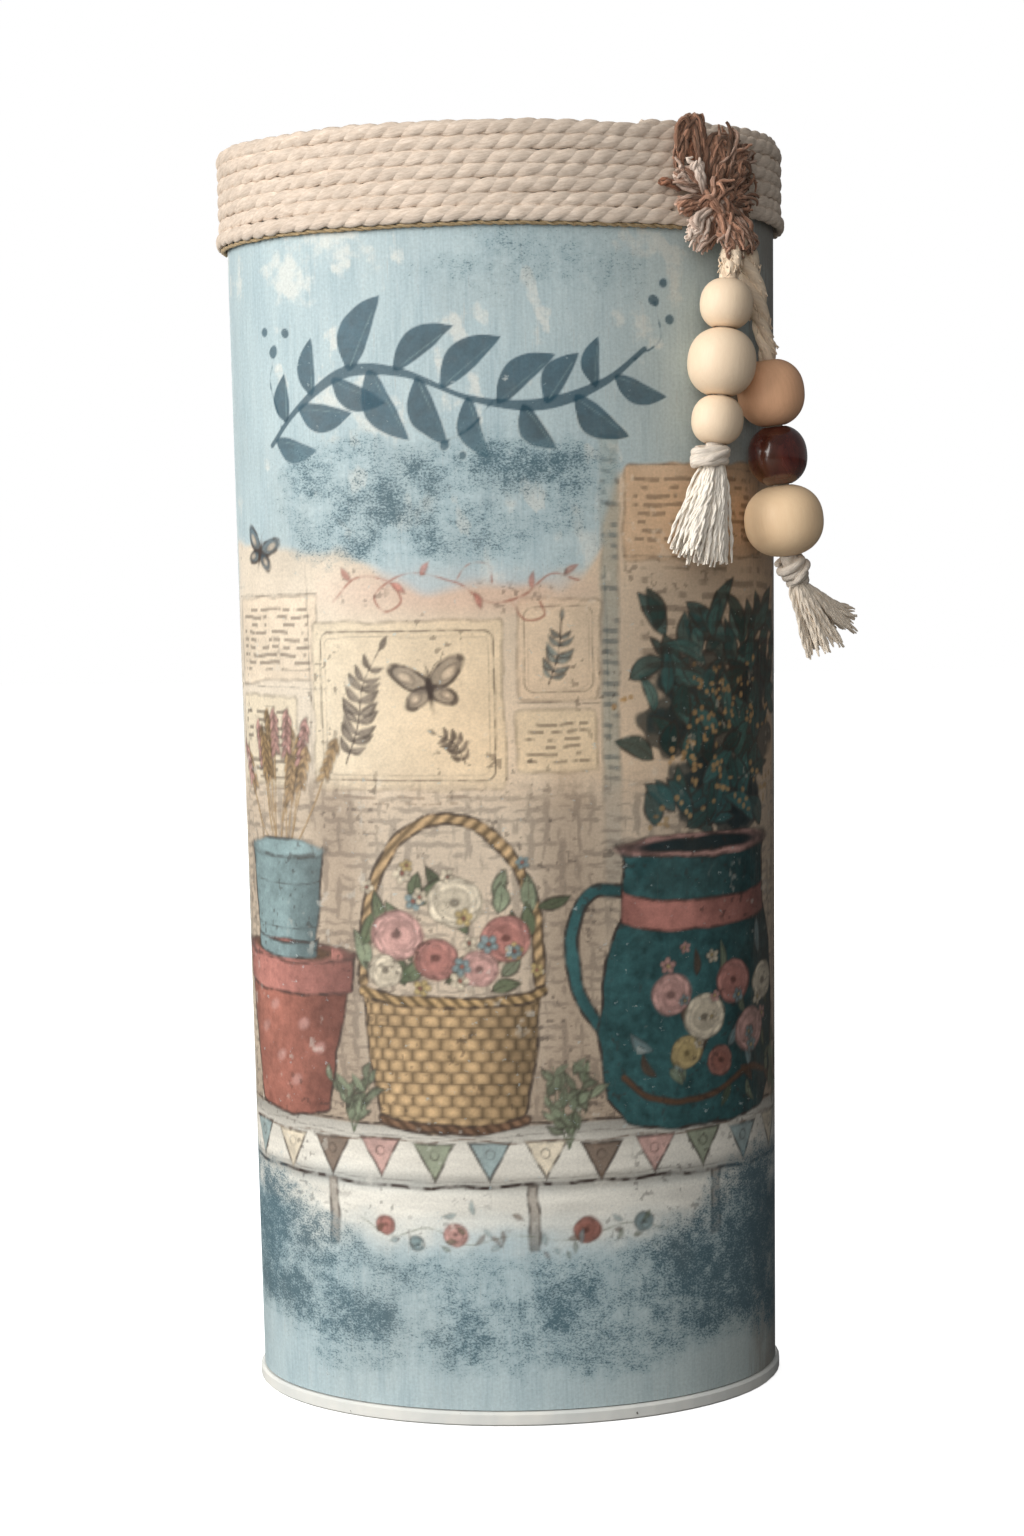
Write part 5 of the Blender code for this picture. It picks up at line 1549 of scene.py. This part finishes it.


# how thick the dark blue sponging lies, where the cream patches are, and where painted shade darkens the right side
def spongeAndCream(sheet):
    x, h = np.meshgrid(sheet["x"], sheet["h"])
    far, near = latticeNoise(x, h, 34.0, 91), latticeNoise(x, h, 11.0, 92)
    edge = smooth(30, 95, np.abs(x + 5))
    low = smooth(4 + 9 * edge, 22 + 12 * edge, h + 22 * (far - 0.5))
    low = low * smooth(62 + 26 * edge, 44 + 22 * edge, h + 20 * (near - 0.5))
    band = low * (0.47 + 0.17 * edge + 0.95 * (near - 0.45) + 0.12 * smooth(-20, -60, x))
    band = band * (1 - 0.35 * smooth(85, 125, np.abs(x))) * (1 + 0.22 * smooth(30, 75, x))
    band = band * (1 - 0.35 * smooth(-60, -85, x) * smooth(30, 16, h))
    upper = smooth(250, 266, h) * smooth(306, 284, h) * smooth(66, 34, np.abs(x + 20)) * (0.05 + 0.95 * near)
    crown = smooth(318, 348, h) * smooth(50, 24, np.abs(x - 14)) * (0.1 + 0.8 * near) * 0.6
    flank = smooth(78, 112, np.abs(x)) * smooth(250, 40, h) * 0.35 * near * 1.6
    fromLap = perimeter / 2 / mm - np.abs(x)
    behind = smooth(116, 150, np.abs(x)) * (0.15 + 0.5 * smooth(0.45, 0.7, far) * smooth(4, 30, fromLap))
    sheet["sponge"] = np.clip(np.maximum.reduce([band, upper, crown, flank, behind * 0.8]), 0, 0.82)
    cloud = latticeNoise(x * 1.3, h, 17.0, 95, 4) + 0.05 * smooth(0, 60, -x)
    cloud = cloud + 0.07 * smooth(300, 275, h) * smooth(240, 262, h) - 0.10 * smooth(90, 130, np.abs(x))
    scuff = smooth(0.60, 0.78, latticeNoise(x * 1.5 + 0.5 * h, h * 0.9 - 0.4 * x, 13.0, 97, 4))
    scuff = scuff * smooth(236, 252, h) * smooth(84, 60, np.abs(x + 8)) * 0.9
    sheet["cream"] = np.maximum(smooth(0.58, 0.86, cloud), scuff) * smooth(66, 90, h)
    # painted shade: a noisy band down the right side, where the light falls off
    side = smooth(76, 90, x + 8 * (far - 0.5)) * smooth(138, 116, x + 20 * (near - 0.5))
    sheet["side"] = side * (0.55 + 0.7 * near)


# a strip of the sheet between two columns; its map folds the strip in two so that it fills a square
def skinStrip(name, sheet, first, last, material):
    part = slice(first, last + 1)
    arcs, heights = sheet["x"][part] * mm, sheet["h"] * mm
    columns, rows = len(arcs), len(heights)
    rise = skinLook["lapRise"] * smooth(perimeter / 2 - skinLook["lapRamp"], perimeter / 2, arcs)
    grid = onWall(angleAt(arcs)[None, :], heights[:, None], rise[None, :])
    inner = onWall(angleAt(arcs)[None, :], heights[[0, -1]][:, None], rise[None, :] - skinLook["thickness"])
    points = np.vstack([grid.reshape(-1, 3), inner.reshape(-1, 3)])
    base = rows * columns
    index = np.arange(base).reshape(rows, columns)
    low, high = base + np.arange(columns), base + columns + np.arange(columns)
    quads = np.stack([index[:-1, :-1], index[:-1, 1:], index[1:, 1:], index[1:, :-1]], -1).reshape(-1, 4)
    inside = np.stack([low[:-1], high[:-1], high[1:], low[1:]], -1)
    foot = np.stack([index[0, 1:], index[0, :-1], low[:-1], low[1:]], -1)
    head = np.stack([index[-1, :-1], index[-1, 1:], high[1:], high[:-1]], -1)
    fours = np.vstack([quads, inside, foot, head])
    sides = [[*index[:, 0].tolist(), int(high[0]), int(low[0])],
             [*index[::-1, -1].tolist(), int(low[-1]), int(high[-1])]]
    mesh = meshOf(name, points, fours.tolist() + sides)
    mesh.set_sharp_from_angle(angle=math.radians(skinLook["sharpAngle"]))
    corners = np.concatenate([fours.ravel(), *sides])
    row, column = np.divmod(np.minimum(corners, base - 1), columns)
    quadRow = np.zeros(len(corners), int)
    quadRow[:fours.size] = np.repeat(np.minimum(fours, base - 1).min(1) // columns, 4)
    fold = rows // 2
    upper = quadRow >= fold
    hidden = np.arange(len(corners)) >= quads.size
    across, along = column / (columns - 1), np.where(upper, (row - fold) / (rows - 1 - fold), row / fold)
    u = np.where(hidden, 0.992 + 0.006 * across, 0.01 + 0.47 * across + 0.5 * upper)
    v = 0.01 + 0.98 * np.where(hidden, row / (rows - 1), along)
    mesh.uv_layers.new(name="OFBake").data.foreach_set("uv", np.stack([u, v], 1).astype(np.float32).ravel())
    for label in ("paint", "sponge", "cream", "side"):
        values = sheet[label][:, part].reshape(base, -1)
        values = np.concatenate([values, values[:columns], values[-columns:]])
        storeValues(mesh, label, values, "FLOAT_COLOR" if label == "paint" else "FLOAT")
    run = np.tile(arcs, rows + 2)
    storeValues(mesh, "sheet", np.stack([run, points[:, 2], 0 * run], 1), "FLOAT_VECTOR")
    standFor(addPiece(name, mesh, material), "vase", "printed_paper", "printed_sleeve")


# pale blue brushwork with cream patches, tinted and darkened as painted shade towards the right, the picture over it,
# then more painted shade down the right side, sponging and grime
def skinMaterial():
    material, tree, shader = newMaterial("painted paper skin", {
        "Specular IOR Level": 0.3, "Coat Weight": 0.08, "Coat Roughness": 0.5})
    place = attributeOf(tree, "sheet", "Vector")
    sponge = attributeOf(tree, "sponge")
    strokes = noiseOf(place, (1300.0, 60.0, 1.0), 3.0, 0.62)
    broad = noiseOf(place, (160.0, 28.0, 1.0))
    fine = noiseOf(place, 1100.0, 3.0, 0.6)
    grit = noiseOf(place, (1250.0, 1700.0, 1.0), 3.0, 0.7)
    dabs = noiseOf(place, (330.0, 420.0, 1.0), 3.0, 0.6)
    blot = noiseOf(place, 110.0, 4.0, 0.62)
    cloud = noiseOf(place, 60.0, 5.0, 0.6)
    grime = noiseOf(place, (22.0, 14.0, 1.0), 5.0, 0.6)
    base = mixColour(remap(strokes, 0.3, 0.72), (0.35, 0.455, 0.490), (0.465, 0.570, 0.600))
    base = mixColour(remap(broad, 0.35, 0.7, 0.0, 0.5), base, (0.54, 0.64, 0.65))
    ragged = remap(blot, 0.3, 0.7, -0.38, 0.38) + remap(dabs, 0.3, 0.7, -0.20, 0.20)
    ragged = ragged + remap(strokes, 0.3, 0.7, -0.12, 0.12)
    patch = remap(ragged + attributeOf(tree, "cream"), 0.25, 1.05, way="SMOOTHSTEP")
    base = mixColour(patch * 0.8, base, (0.67, 0.69, 0.65))
    # painted shade: the ground turns warmer and greyer towards the right, as the light falls off there
    groundShadeToRight = remap(addNode(tree, "ShaderNodeSeparateXYZ", {"Vector": place}), 0.0, 0.09, 0.0, 0.4)
    base = mixColour(groundShadeToRight, base, (0.49, 0.50, 0.43))
    # painted shade: the right side band darkens the ground to a grey brown
    side = remap(attributeOf(tree, "side") + (strokes - 0.5) * 1.8, 0.2, 0.95)
    base = mixColour(side * 0.68, base, (0.26, 0.225, 0.19))
    worn = attributeOf(tree, "paint", "Alpha") * remap(dabs + cloud * 0.25, 0.78, 0.90, 1.0, 0.45)
    colour = mixColour(worn, base, attributeOf(tree, "paint", "Color"))
    # painted shade: the right side band darkens the picture too
    colour = mixColour(side * 0.25, colour, (0.20, 0.17, 0.145))
    colour = colour * remap(fine, 0.3, 0.7, 0.90, 1.08)
    veil = remap(blot * 0.5 + dabs * 0.5 + sponge * 0.55, 0.56, 0.96, 0.0, 0.66)
    colour = mixColour(veil * remap(sponge, 0.05, 0.3), colour, (0.175, 0.28, 0.32))
    level = grit * 0.62 + dabs * 0.22 + blot * 0.26 + sponge * 0.30
    colour = mixColour(remap(level, 0.68, 0.80, 0.0, 0.80), colour, (0.040, 0.092, 0.120))
    colour = mixColour(remap(grime, 0.50, 0.74, 0.0, 0.16), colour, (0.20, 0.155, 0.11))
    finishMaterial(shader, colour, remap(dabs, 0.3, 0.7, 0.54, 0.72), strokes * 0.7 + grit, 0.3, 0.12 * mm)
    return material


paintedSkin = skinMaterial()
for paintPart in (paintPapers, paintBacking, paintFoliage, paintBench, paintPots, paintBasket, paintJug,
                  paintSprigs, agePicture, paintBranch):
    paintPart()
spongeAndCream(picture)
perStrip = (skinLook["frontColumns"] - 1) // skinLook["frontStrips"]
for number in range(skinLook["frontStrips"]):
    skinStrip(f"paintedSkinFront{number + 1}", picture, number * perStrip, (number + 1) * perStrip,
              paintedSkin)
front, half = skinLook["frontHalf"], perimeter / 2 / mm
for name, low, high in (("paintedSkinRight", front, half + skinLook["lapReach"]),
                        ("paintedSkinLeft", -half, -front)):
    backSheet = newSheet(low, high, skinLook["backColumns"], skinLook["backRows"])
    spongeAndCream(backSheet)
    skinStrip(name, backSheet, 0, skinLook["backColumns"] - 1, paintedSkin)
print("skin painted")


# tin wall and base end keep their model shape and get their finish

def enamelMaterial():
    material, tree, shader = newMaterial("off-white enamel", {"Specular IOR Level": 0.4})
    place = addNode(tree, "ShaderNodeTexCoord", None, "Object")
    cloud = noiseOf(place, 60.0, 4.0)
    streak = noiseOf(place, (60.0, 60.0, 900.0))
    chips = noiseOf(place, 210.0, 3.0, 0.6)
    colour = mixColour(remap(cloud, 0.35, 0.7), (0.66, 0.68, 0.66), (0.80, 0.79, 0.74))
    colour = mixColour(remap(chips, 0.69, 0.72), colour, (0.12, 0.11, 0.10))
    finishMaterial(shader, colour, remap(streak, 0.3, 0.7, 0.36, 0.56), cloud + streak, 0.2, 0.1 * mm)
    return material


def tinMaterial():
    material, tree, shader = newMaterial("satin tinplate", {"Metallic": 0.95})
    place = addNode(tree, "ShaderNodeTexCoord", None, "Object")
    rolled = noiseOf(place, (40.0, 40.0, 1800.0))
    colour = mixColour(remap(noiseOf(place, 35.0, 4.0), 0.3, 0.7), (0.36, 0.37, 0.37), (0.52, 0.53, 0.52))
    finishMaterial(shader, colour, remap(rolled, 0.3, 0.7, 0.42, 0.62), rolled, 0.15, 0.05 * mm)
    return material


for node, material in (("base_end", enamelMaterial()), ("tin_body", tinMaterial())):
    solid = frame["nodes"][node]
    solid.data.materials.clear()
    solid.data.materials.append(material)
print("tin and base finished")


# floor and soft studio light

studio = {"floorHalf": 6.0, "middle": (0, 0, 0.2), "evenLight": 0.16}


def addLight(name, place, size, power, colour):
    data = bpy.data.lights.new(name, "AREA")
    data.shape = "ELLIPSE"
    data.size, data.size_y = size
    data.energy = power
    data.color = colour
    lamp = addObject(name, data)
    lamp.location = place
    lamp.rotation_euler = (Vector(studio["middle"]) - Vector(place)).to_track_quat("-Z", "Y").to_euler()
    return lamp


def addFloor():
    corners = np.array([(-1, -1, 0), (1, -1, 0), (1, 1, 0), (-1, 1, 0)]) * studio["floorHalf"]
    material, tree, shader = newMaterial("white paper floor", {
        "Roughness": 0.9, "Specular IOR Level": 0.1, "Emission Color": (1, 1, 1)})
    place = addNode(tree, "ShaderNodeTexCoord", None, "Object")
    seen = addNode(tree, "ShaderNodeLightPath", None, "Is Camera Ray")
    paper = mixColour(noiseOf(place, 3.0), (0.92, 0.92, 0.92), (0.96, 0.96, 0.955))
    feed(shader["Base Color"], mixColour(seen, (0.20, 0.20, 0.20), paper))
    distance = addNode(tree, "ShaderNodeVectorMath", {0: place}, "Value", operation="LENGTH")
    feed(shader["Emission Strength"], seen * remap(distance, 0.25, 1.1, 0.80, 1.0))
    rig.stage(addPiece("studioFloor", meshOf("studio floor", corners, [(0, 1, 2, 3)]), material))


# white behind the object, and a weaker even light on it
def addWorld(light):
    world = bpy.data.worlds.new("studio white")
    world.use_nodes = True
    background = world.node_tree.nodes["Background"].inputs
    seen = addNode(world.node_tree, "ShaderNodeLightPath", None, "Is Camera Ray")
    feed(background["Color"], (1, 1, 1))
    feed(background["Strength"], remap(seen, 0.0, 1.0, light, 1.0))
    bpy.context.scene.world = world


addFloor()
addLight("key softbox", (-1.15, -0.82, 0.70), (1.2, 1.5), 25.5, (1.0, 0.98, 0.95))
addLight("front fill", (-0.25, -1.6, 0.65), (1.3, 1.3), 8.5, (1.0, 0.985, 0.96)).visible_glossy = False
addLight("back fill", (-0.45, 1.7, 0.7), (1.5, 1.5), 15.0, (1.0, 0.99, 0.97))
addWorld(studio["evenLight"])
bpy.context.scene.view_settings.view_transform = "Standard"
print("studio ready")

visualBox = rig.bounds()
with open("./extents.json", "w") as sizes:
    json.dump({"cad": [list(corner) for corner in cadBox], "visual": [list(corner) for corner in visualBox]},
              sizes)
